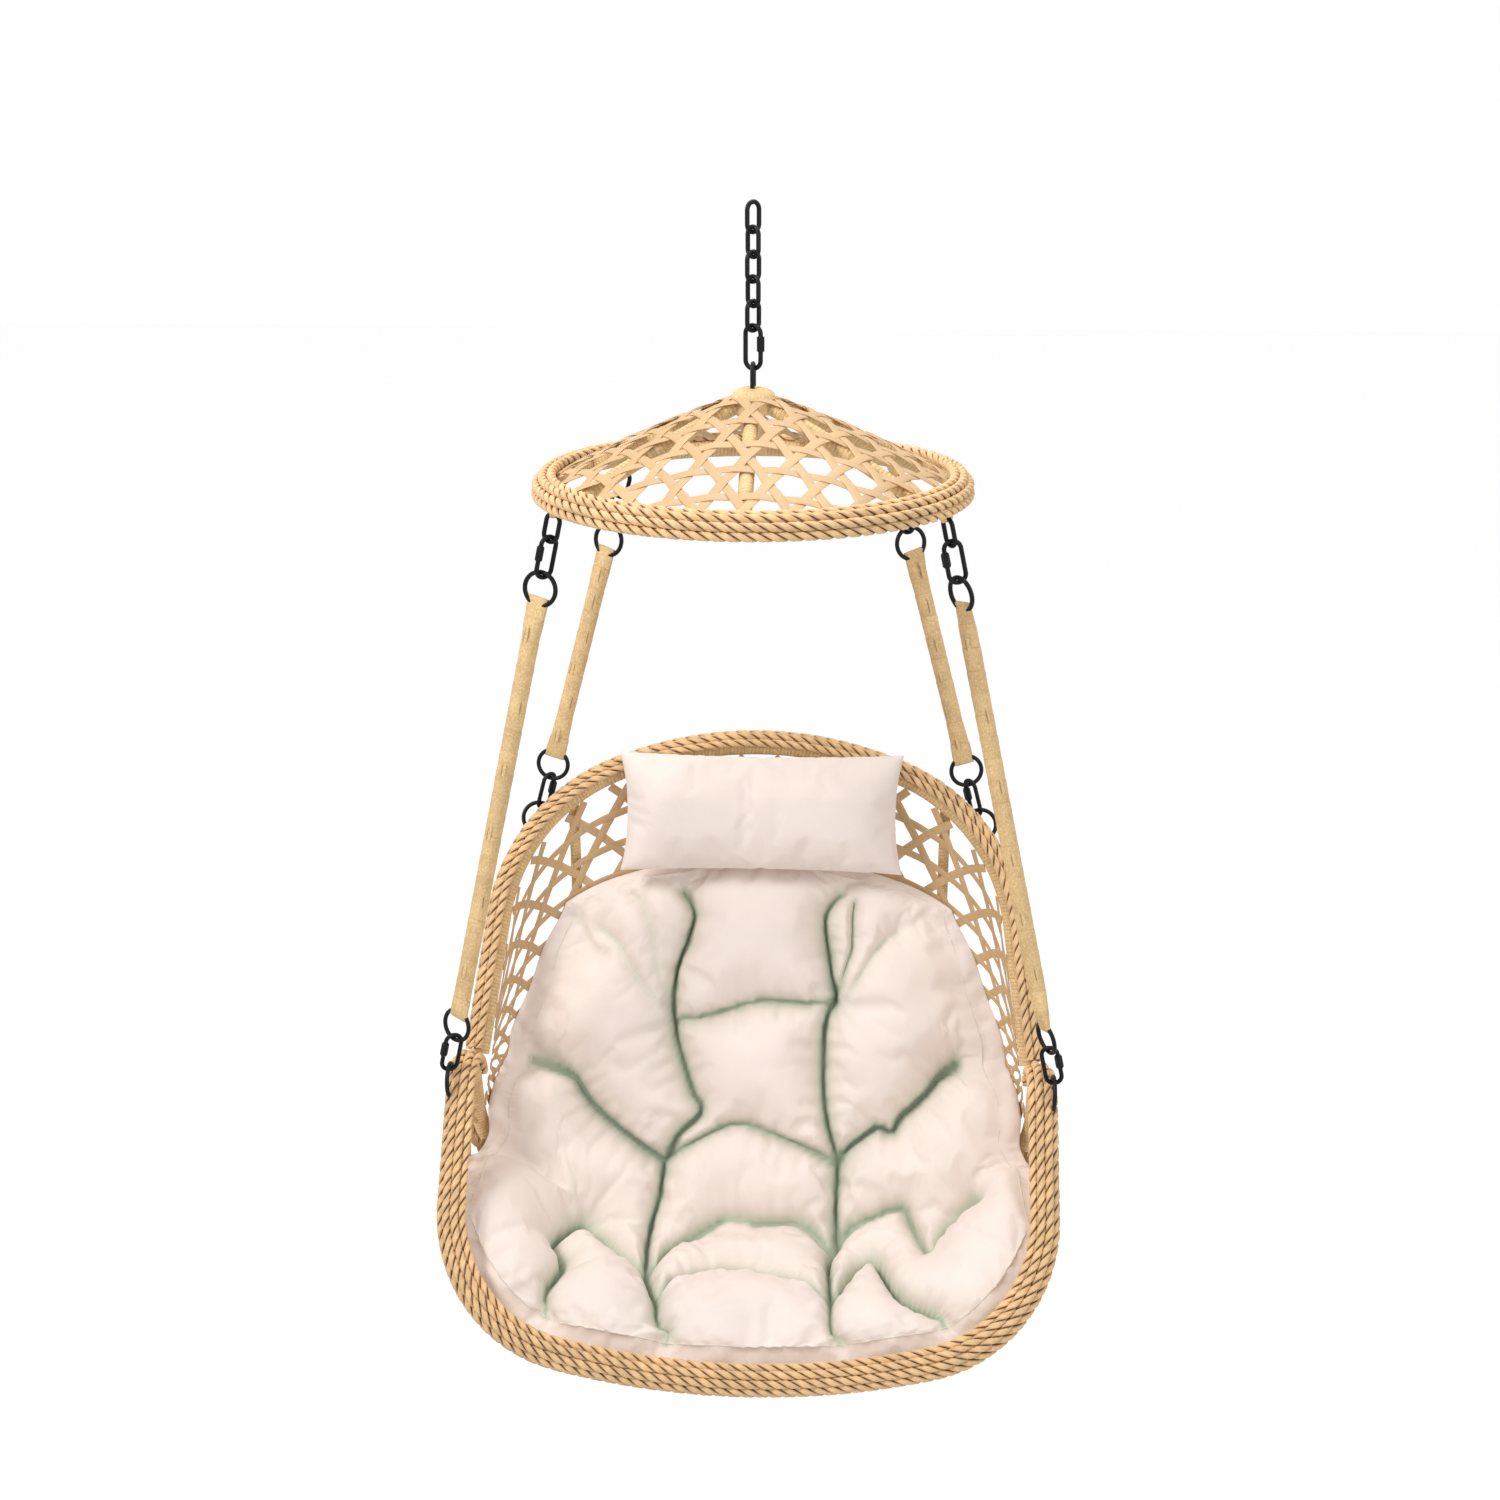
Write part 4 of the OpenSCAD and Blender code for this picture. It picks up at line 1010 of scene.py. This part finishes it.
class EGG_OT_ropes(bpy.types.Operator):
    """Lays the twisted rope rows on the canopy rim, the seat hoop and the back arch"""
    bl_idname = "egg_chair.ropes"
    bl_label = "Twisted ropes"

    def execute(self, context):
        rope = settings().rope
        finish = twisted_rope(rope)
        rim = Piece("canopy_ropes_twisted")
        for i, o, n in rope_rows(4, -14, 37.5):
            add_rope(rim, rim_path(o, n), rope, 20 + i, closed=True)
        rim.done(finish, "canopy", ["canopy_ropes"], weld=0.0003)

        seat = Piece("seat_ropes_twisted")
        for i, o, n in rope_rows(5, -10, 37.3):
            rear = math.radians(38) if i < 3 else 0
            add_rope(seat, whole(seat_row(o, n, rear)), rope, 30 + i)
        seat.done(finish, "basket", ["seat_ropes"])

        back = Piece("back_ropes_twisted")
        for i, o, n in rope_rows(3, 8, 37.5):
            add_rope(back, whole(arch_row(o, n)), rope, 40 + i)
        back.done(finish, "basket", ["back_ropes"])
        return {"FINISHED"}


class EGG_OT_canopy_weave(bpy.types.Operator):
    """Weaves the open six-sided strip pattern of the canopy"""
    bl_idname = "egg_chair.canopy_weave"
    bl_label = "Canopy weave"

    def execute(self, context):
        weave = settings().weave

        def inside(u, v):
            return 0.026 < math.hypot(u, v) < RIM_R - 0.009

        def at(u, v, d):
            r = max(0.012, math.hypot(u, v))
            slope = (dome_z(r + 0.001) - dome_z(r - 0.001)) / 0.002
            up = 1 / math.hypot(1, slope)
            out = -slope * up * d / r
            return u + u * out, v + v * out, dome_z(r, -0.0015) + up * d

        piece = Piece("canopy_weave_strips")
        add_strips(piece, lattice(0.3, 0.3, weave.canopy_gap, inside), at, weave, 0.0012, 50)
        piece.done(flat_strip(weave), "canopy", ["canopy_weave"])
        return {"FINISHED"}


# node, surface, half its width, its height, the share of the width that is woven, seed
NETS = (("back_weave", back_surf, 0.55, 0.8115, 0.93, 60), ("seat_weave", seat_surf, 0.69, 0.424, 1.0, 70))


class EGG_OT_basket_weave(bpy.types.Operator):
    """Weaves the open strip pattern of the seat, the sides and the back"""
    bl_idname = "egg_chair.basket_weave"
    bl_label = "Basket weave"

    def execute(self, context):
        weave = settings().weave
        finish = flat_strip(weave)
        for name, surf, half, tall, reach, seed in NETS:
            piece = Piece(name + "_strips")
            runs, at = net(surf, half, tall, weave, reach)
            add_strips(piece, runs, at, weave, 0.0009, seed)
            piece.done(finish, "basket", [name])
        return {"FINISHED"}


# ---- padded pieces ----

# rows of the cushion from the front edge, over the seat and up the back:
# on the back, v, inset in mm, thickness in mm, half reach, lean of the thickness in degrees
ROWS = ((0, 0.048, 3, 44, 0.75, 0), (0, 0.11, 4, 66, 0.765, 4), (0, 0.22, 4, 86, 0.78, 8),
        (0, 0.36, 4, 98, 0.79, 14), (0, 0.5, 4, 102, 0.80, 22), (0, 0.64, 4, 104, 0.81, 31),
        (0, 0.78, 6, 106, 0.82, 40), (0, 0.9, 22, 106, 0.84, 50), (1, 0.09, 24, 108, 0.86, 60),
        (1, 0.18, 14, 110, 0.86, 68), (1, 0.28, 6, 112, 0.84, 76), (1, 0.39, 2.5, 112, 0.80, 83),
        (1, 0.5, 2.5, 108, 0.74, 88), (1, 0.6, 2.5, 100, 0.66, 90), (1, 0.69, 2.5, 84, 0.57, 90),
        (1, 0.745, 4, 60, 0.51, 88), (1, 0.77, 8, 34, 0.48, 86))

# sewn channels and folds as lines of (row, place across from -1 to 1), each with its weight
CREASES = (
    (1.0, ((14.9, -.40), (13.9, -.30), (12.9, -.32), (12.2, -.32), (11.5, -.30))),
    (1.0, ((11.5, -.30), (10.7, -.25), (9.9, -.20), (9.5, -.17), (8.9, -.25), (8.2, -.30))),
    (1.0, ((8.2, -.30), (7.5, -.32), (6.6, -.35), (4.4, -.32), (2.6, -.27))),
    (1.0, ((2.6, -.27), (1.4, -.25), (0.9, -.22), (0.0, -.22))),
    (1.0, ((15.0, .45), (14.0, .33), (13.0, .30), (12.0, .30))),
    (0.6, ((12.0, .30), (12.9, .38), (13.5, .45), (14.7, .53))),
    (1.0, ((12.0, .30), (11.6, .25), (10.8, .23), (9.6, .23), (8.2, .28))),
    (1.0, ((8.2, .28), (7.6, .28), (6.2, .28), (5.5, .25), (3.0, .25))),
    (0.8, ((3.0, .25), (1.3, .25), (0.0, .28))),
    (0.8, ((11.5, -.30), (11.6, -.17), (11.8, -.05), (11.9, .03), (11.9, .15), (12.0, .30))),
    (0.8, ((8.2, -.30), (8.6, -.22), (9.2, -.07), (9.0, .05), (8.5, .20), (8.2, .28))),
    (0.8, ((4.4, -.32), (6.2, -.25), (7.1, -.10), (7.1, .03), (7.0, .18), (6.2, .28))),
    (0.6, ((2.6, -.27), (3.7, -.22), (4.7, -.07), (4.3, .10), (3.5, .20), (3.0, .25))),
    (1.0, ((8.2, -.30), (8.6, -.40), (9.6, -.60), (10.5, -.78), (11.0, -1.0))),
    (1.0, ((8.2, .28), (8.7, .33), (9.2, .43), (9.1, .50), (9.6, .55), (10.6, .78), (11.1, .95))),
    (1.0, ((4.4, -.32), (6.1, -.55), (6.1, -.62), (4.5, -.65), (3.5, -.60), (1.7, -.62), (0.0, -.60))),
    (1.0, ((3.0, .25), (5.3, .40), (2.8, .48), (1.1, .58), (0.0, .60))),
    (0.8, ((6.2, .28), (6.9, .33), (7.2, .53), (6.7, .58), (4.8, .60))),
    (0.7, ((4.8, .60), (5.7, .68), (5.9, .83), (5.6, .85))),
    (0.4, ((11.5, -.30), (13.1, -.45), (15.3, -.72))),
    (0.4, ((11.9, -.35), (13.5, -.70), (14.3, -.88))),
    (0.3, ((14.9, -1.0), (13.9, -.90), (13.6, -.80))),
    (0.4, ((12.1, .33), (13.2, .53), (14.2, .78))))

# where the folds draw the border in, left and right: row, share of the half width, reach in rows
PINCHES = (((11, 0.05, 0.6), (13, 0.045, 0.6), (15, 0.025, 0.6), (6, 0.03, 0.7)),
           ((11, 0.05, 0.6), (13, 0.04, 0.6), (15, 0.02, 0.6), (6, 0.03, 0.7)))

# half width of a sewn line, and the places of the tufts
SEAM = 0.0038
TUFTS = ((11.5, -.30), (12.0, .30), (8.2, -.30), (8.2, .28), (4.4, -.32), (6.2, .28), (2.6, -.27), (3.0, .25))


def spline(points, count):
    """Catmull-Rom curve through points, which may be whole rows of points."""
    points = np.asarray(points, float)
    n = len(points) - 1
    t = np.linspace(0, n, count)
    i = np.minimum(t.astype(int), n - 1)
    f = (t - i).reshape((-1,) + (1,) * (points.ndim - 1))
    a, b, c, d = (points[np.clip(i + k, 0, n)] for k in (-1, 0, 1, 2))
    bend, twist = 2 * a - 5 * b + 4 * c - d, 3 * b - a - 3 * c + d
    return 0.5 * (2 * b + (c - a) * f + bend * f ** 2 + twist * f ** 3)


def pad_row(number, row, places):
    """The lower and the upper edge of one row of the cushion, at each place across."""
    back, v, inset, thick, reach, lean = row
    surf = back_surf if back else seat_surf
    lean = math.radians(lean)
    low, top = [], []
    for e in places:
        side = -1 if e < 0 else 1
        a = math.radians(78 * abs(e) ** 1.6)
        t = thick / 1000 * (0.34 + 0.66 * math.sqrt(max(0.0, 1 - abs(e) ** 5)))
        pinch = 0.0
        for place, deep, wide in PINCHES[side > 0]:
            pinch += deep * math.exp(-((number - place) / wide) ** 2)
        p = Vector(surf(e * reach * (1 - pinch * abs(e) ** 3), v, inset / 1000))
        out = Vector((-side * math.sin(a), -math.cos(a) * math.sin(lean), math.cos(a) * math.cos(lean)))
        low.append(tuple(p))
        top.append(tuple(p + t * out))
    return low, top


class Pad:
    """A closed padded form: a grid of places on its face and on its underside, joined by a side wall."""

    def __init__(self, name, low, top, wall=3):
        self.rows, self.cols = top.shape[0] - 1, top.shape[1] - 1
        bm = bmesh.new()
        bmesh.ops.create_grid(bm, x_segments=self.cols, y_segments=self.rows, size=1)
        made = bmesh.ops.extrude_face_region(bm, geom=list(bm.faces), use_keep_orig=True)["geom"]
        bmesh.ops.translate(bm, verts=[g for g in made if isinstance(g, bmesh.types.BMVert)], vec=(0, 0, 1))
        sides = [e for e in bm.edges if abs(e.verts[0].co.z - e.verts[1].co.z) > 0.5]
        bmesh.ops.subdivide_edges(bm, edges=sides, cuts=wall)
        self.mesh = bpy.data.meshes.new(name)
        bm.to_mesh(self.mesh)
        bm.free()
        co = get_points(self.mesh)
        self.i = np.rint((co[:, 1] + 1) / 2 * self.rows).astype(int)
        self.j = np.rint((co[:, 0] + 1) / 2 * self.cols).astype(int)
        self.level = co[:, 2].copy()
        share = self.level[:, None]
        put_points(self.mesh, low[self.i, self.j] * (1 - share) + top[self.i, self.j] * share)
        bm = bmesh.new()
        bm.from_mesh(self.mesh)
        bmesh.ops.recalc_face_normals(bm, faces=bm.faces)
        bm.to_mesh(self.mesh)
        bm.free()
        self.rim = (self.i == 0) | (self.i == self.rows) | (self.j == 0) | (self.j == self.cols)

    def stand(self, material, tone):
        note(self.mesh, "tone", "FLOAT", "value", tone)
        self.piece = stand(self.mesh, material)

    def blow_up(self, pins, puff, cap, slack):
        """Fills the piece with air as cloth, keeps the shape and limits how far any point went."""
        group = self.piece.vertex_groups.new(name="pins")
        for k in range(1, 11):
            chosen = np.nonzero(np.rint(pins * 10) == k)[0]
            if len(chosen):
                group.add(chosen.tolist(), k / 10, "REPLACE")
        start = get_points(self.mesh)
        cloth = self.piece.modifiers.new("air", "CLOTH")
        how = cloth.settings
        how.quality, how.mass, how.air_damping = 6, 0.3, 2.0
        how.tension_stiffness, how.compression_stiffness, how.bending_stiffness = 18, 12, 0.6
        how.use_pressure, how.uniform_pressure_force = True, puff
        how.shrink_min = -slack
        how.effector_weights.gravity = 0
        how.vertex_group_mass = "pins"
        cloth.collision_settings.use_collision = False
        scene = bpy.context.scene
        scene.frame_start, scene.frame_end = 1, 20
        for step in range(1, 21):
            scene.frame_set(step)
        shown = self.piece.evaluated_get(bpy.context.evaluated_depsgraph_get())
        move = get_points(shown.to_mesh()) - start
        shown.to_mesh_clear()
        size = np.linalg.norm(move, axis=1, keepdims=True)
        self.piece.modifiers.remove(cloth)
        put_points(self.mesh, start + move * np.minimum(1.0, cap / np.maximum(size, 1e-9)))
        self.piece.vertex_groups.clear()
        scene.frame_set(1)

    def border(self, picks):
        """Points of the face's border, in order, for the (row, column) pairs in picks."""
        co = get_points(self.mesh)
        where = {(i, j): k for k, (i, j, z) in enumerate(zip(self.i, self.j, self.level)) if z > 0.99}
        return np.array([co[where[p]] for p in picks])

    def finish(self, nodes, fill):
        smooth = self.piece.modifiers.new("smooth", "SUBSURF")
        smooth.levels = smooth.render_levels = 1
        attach(self.piece, "basket")
        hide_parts(*nodes)


def sew(face, at_place):
    """Draws the points beside each sewn line onto it. Gives the points, how deep each one sinks and
    how close it lies to a line, from 0 to 1."""
    flat = face.reshape(-1, 3).copy()
    depth, near = np.zeros(len(flat)), np.zeros(len(flat))
    rnd = random.Random(5)
    for weight, line in CREASES:
        line = np.array([at_place(*place) for place in spline(line, 60 * len(line))])
        run = np.concatenate([[0], np.cumsum(np.linalg.norm(np.diff(line, axis=0), axis=1))])
        wide = 0.030 + 0.065 * weight  # reach of the soft valley beside the line
        some = np.nonzero(np.all((flat > line.min(0) - wide) & (flat < line.max(0) + wide), axis=1))[0]
        gaps = np.linalg.norm(flat[some][:, None] - line[None], axis=2)
        nearest = gaps.argmin(1)
        gap = gaps[np.arange(len(some)), nearest]
        pull = np.interp(gap, [0, SEAM, 2.5 * SEAM], [1.0, 1.0, 0.0]) * (weight > 0.5)
        flat[some] += (line[nearest] - flat[some]) * pull[:, None]
        gap = gap * (1 - pull)
        k = np.clip(1 - gap / wide, 0, 1)
        deep = (0.006 + 0.038 * weight ** 1.5) * (1 - np.sqrt(1 - k ** 2))
        deep += 0.013 * weight * np.exp(-(gap / 0.010) ** 2)
        along = 2 * np.pi * run[nearest]
        wave = np.sin(along / rnd.uniform(0.026, 0.036) + rnd.uniform(0, 6))
        wave += 0.6 * np.sin(along / rnd.uniform(0.043, 0.058) + rnd.uniform(0, 6))
        deep += 0.0022 * weight * wave * np.exp(-(gap / 0.030) ** 2) * (gap > 0.004)
        depth[some] = np.maximum(depth[some], deep)
        near[some] = np.maximum(near[some], weight * np.exp(-(gap / SEAM) ** 2))
    for place in TUFTS:
        side = flat - np.array(at_place(*place))
        gap = np.linalg.norm(side, axis=1)
        turn = np.arctan2(side[:, 0], side[:, 2] - side[:, 1])
        depth += 0.009 * np.exp(-(gap / 0.030) ** 2)
        depth += 0.0028 * np.sin(turn * 9 + place[0]) * np.exp(-((gap - 0.036) / 0.024) ** 2)
    shape = face.shape[:2]
    return flat.reshape(face.shape), depth.reshape(shape), near.reshape(shape)


# the deepest fold as a share of the thickness, how far the face starts below its puffed form, and
# the height of its small dents
DEEPEST = 0.62
FACE_DROP = 0.004
RUMPLE = 0.0028


class EGG_OT_cushion(bpy.types.Operator):
    """Sews and fills the tufted cushion of the seat and back"""
    bl_idname = "egg_chair.cushion"
    bl_label = "Tufted cushion"

    def execute(self, context):
        look = settings().cushion
        cols, rows = 156, 150
        last, fineness = len(ROWS) - 1, 20
        places = np.linspace(-1, 1, cols + 1)
        low, coarse = zip(*(pad_row(number, row, places) for number, row in enumerate(ROWS)))
        low, top = spline(low, rows + 1), spline(coarse, rows + 1)
        fine = spline(coarse, last * fineness + 1)

        def at_place(row, e):
            i = int(round(min(last, max(0, row)) * fineness))
            j = (min(1, max(-1, e)) + 1) / 2 * cols
            k = min(cols - 1, int(j))
            return fine[i, k] + (fine[i, k + 1] - fine[i, k]) * (j - k)

        normal = np.cross(np.gradient(top, axis=1), np.gradient(top, axis=0))
        normal /= np.linalg.norm(normal, axis=2, keepdims=True)
        normal *= np.sign((normal * (top - low)).sum(2, keepdims=True))
        top, depth, near = sew(top, at_place)
        depth = np.minimum(depth, np.linalg.norm(top - low, axis=2) * DEEPEST)
        wander = np.array([[noise.noise(Vector(p) * 13.0) + 0.5 * noise.noise(Vector(p) * 29.0) for p in row]
                           for row in top])
        pad = Pad("seat_cushion", low, top - normal * (depth + FACE_DROP + RUMPLE * wander)[..., None])
        on_face, near = pad.level > 0.99, near[pad.i, pad.j]
        # painted shade: the cloth darkens with the depth of each crease valley and tuft, and most right on
        # the sewn lines
        tone = 0.44 * np.clip(depth / 0.055, 0, 1)[pad.i, pad.j] ** 1.5
        cloth = cushion_cloth(look, "cushion_cloth")
        pad.stand(cloth, np.where(on_face, tone + (1 - tone) * near * 0.58, 0.0))
        pins = np.where(on_face, np.where(pad.rim, 0.7, np.clip(near, 0, 1)), 0.0)
        pad.blow_up(np.where(pad.level < 0.01, 1.0, pins), look.puff, look.cap, 0.05)
        pad.finish(["cushion"], 0.75)

        ring = [(i, 0) for i in range(rows, 0, -1)] + [(0, j) for j in range(cols + 1)]
        line = pad.border(ring + [(i, cols) for i in range(1, rows + 1)])
        path = Path(line, line - line.mean(0))
        seam = Piece("cushion_seam")
        # painted shade: the seam cord is dimmed halfway toward the greenish crease shade
        seam.add(straight_bar(circle_section(0.0011, 6), path.length, len(line) - 1), path, 0.25)
        seam.done(cloth, "basket", [])
        return {"FINISHED"}


# half the thickness, width and height of the pillow, its middle and its lean
PILLOW_HALF = (0.036, 0.236, 0.101)
PILLOW_AT = (0.006, 0.1696, -1.0)
PILLOW_TILT = math.radians(-10)


class EGG_OT_pillow(bpy.types.Operator):
    """Sews and fills the head pillow"""
    bl_idname = "egg_chair.pillow"
    bl_label = "Head pillow"

    def execute(self, context):
        look = settings().cushion
        cols, rows = 72, 36
        u, v = np.meshgrid(np.linspace(-1, 1, cols + 1), np.linspace(-1, 1, rows + 1))
        thick, wide, tall = PILLOW_HALF
        thick = thick * np.sqrt(np.clip((1 - abs(u) ** 3.2) * (1 - abs(v) ** 2.6), 0, 1)) + 0.0022
        wide = wide * u * (1 - 0.05 * (1 - v * v))
        tall = tall * v * (1 - 0.06 * (1 - u * u))
        turn = np.array(Matrix.Rotation(PILLOW_TILT, 3, "X"))

        def placed(side):
            return np.stack([wide, side * thick, tall], 2) @ turn.T + np.array(PILLOW_AT)
        pad = Pad("head_pillow", placed(1), placed(-1), wall=1)
        pad.stand(cushion_cloth(look, "pillow_cloth"), np.zeros(len(pad.level)))
        pad.blow_up(pad.rim * 0.35, look.puff * 0.8, 0.012, 0.03)
        pad.finish(["pillow"], 0.8)
        return {"FINISHED"}


class EGG_OT_stage(bpy.types.Operator):
    """Sets the floor, the soft lamps, the world and the camera"""
    bl_idname = "egg_chair.stage"
    bl_label = "Stage"

    def execute(self, context):
        look = settings().stage
        scene = context.scene
        scene.view_settings.view_transform = "Standard"
        cam = bpy.data.objects.new("camera", bpy.data.cameras.new("camera"))
        cam.data.lens, cam.data.sensor_width = 50, 36
        cam.data.clip_end = 60
        eye = Vector((0.144, -3.091, 0.225))
        pitch = math.radians(18.84)
        level = Vector((-0.048, 0.9988, 0)).normalized() * math.cos(pitch)
        cam.rotation_mode = "QUATERNION"
        cam.rotation_quaternion = Vector((level.x, level.y, -math.sin(pitch))).to_track_quat("-Z", "Y")
        cam.location = eye
        scene.collection.objects.link(cam)
        scene.camera = cam

        bm = bmesh.new()
        bmesh.ops.create_grid(bm, x_segments=1, y_segments=1, size=14)
        bmesh.ops.translate(bm, verts=bm.verts, vec=(0, 2, look.floor_z))
        mesh = bpy.data.meshes.new("floor")
        bm.to_mesh(mesh)
        bm.free()
        f = Finish("floor")
        f.set(Base_Color=(0.86, 0.86, 0.86), Roughness=0.9)
        seen = f.add("ShaderNodeLightPath", key="Is Camera Ray")
        glow = f.add("ShaderNodeEmission", {"Color": (1.0, 1.0, 1.0), "Strength": 1.2})
        both = f.add("ShaderNodeMixShader", {0: seen * 0.72, 1: Wire(f, f.shader.outputs[0]), 2: glow})
        f.put(f.end.inputs["Surface"], both)
        floor = stand(mesh, f.mat)

        world = bpy.data.worlds.new("soft_room")
        world.use_nodes = True
        tree = world.node_tree
        back = tree.nodes["Background"]
        back.inputs["Color"].default_value = (1, 1, 1, 1)
        rays = tree.nodes.new("ShaderNodeLightPath")
        level = tree.nodes.new("ShaderNodeMapRange")
        level.inputs["To Min"].default_value = 0.46
        level.inputs["To Max"].default_value = 1.0
        seen = rays.outputs["Is Camera Ray"]
        for key in ("Is Glossy Ray", "Is Transmission Ray"):
            more = tree.nodes.new("ShaderNodeMath")
            tree.links.new(seen, more.inputs[0])
            tree.links.new(rays.outputs[key], more.inputs[1])
            seen = more.outputs[0]
        tree.links.new(seen, level.inputs["Value"])
        tree.links.new(level.outputs[0], back.inputs["Strength"])
        scene.world = world

        aim = Vector((0, 0, -1))
        for name, place, size, power in (("key", (-2.5, -1.9, 2.0), 1.2, look.key),
                                         ("fill", (2.2, -2.6, 0.2), 2.2, look.key * 0.34),
                                         ("top", (0.2, 0.6, 1.9), 1.6, look.key * 0.40)):
            lamp = bpy.data.lights.new(name, "AREA")
            lamp.energy, lamp.size = power, size
            thing = bpy.data.objects.new(name, lamp)
            thing.rotation_mode = "QUATERNION"
            thing.rotation_quaternion = (aim - Vector(place)).to_track_quat("-Z", "Y")
            thing.location = place
            scene.collection.objects.link(thing)
        return {"FINISHED"}


class EGG_PT_panel(bpy.types.Panel):
    """Lists the makers of the chair's pieces and their settings"""
    bl_idname = "EGG_PT_panel"
    bl_label = "Egg chair"
    bl_space_type = "VIEW_3D"
    bl_region_type = "UI"
    bl_category = "Egg chair"

    def draw(self, context):
        chair = context.scene.egg_chair
        for name in ("weave", "rope", "tube", "metal", "cushion", "stage"):
            group = getattr(chair, name)
            box = self.layout.box()
            for key in group.__annotations__:
                box.prop(group, key)
        for op in OPERATORS:
            self.layout.operator(op.bl_idname)


OPERATORS = (EGG_OT_stage, EGG_OT_hardware, EGG_OT_tubes, EGG_OT_arms, EGG_OT_ropes, EGG_OT_canopy_weave,
             EGG_OT_basket_weave, EGG_OT_cushion, EGG_OT_pillow)
CLASSES = (WeaveSettings, RopeSettings, TubeSettings, MetalSettings, CushionSettings, StageSettings,
           ChairSettings) + OPERATORS + (EGG_PT_panel,)


def register():
    for cls in CLASSES:
        bpy.utils.register_class(cls)
    bpy.types.Scene.egg_chair = PointerProperty(type=ChairSettings)


def unregister():
    del bpy.types.Scene.egg_chair
    for cls in reversed(CLASSES):
        bpy.utils.unregister_class(cls)


def main():
    register()
    for op in OPERATORS:
        group, name = op.bl_idname.split(".")
        getattr(getattr(bpy.ops, group), name)()


if __name__ == "__main__":
    main()
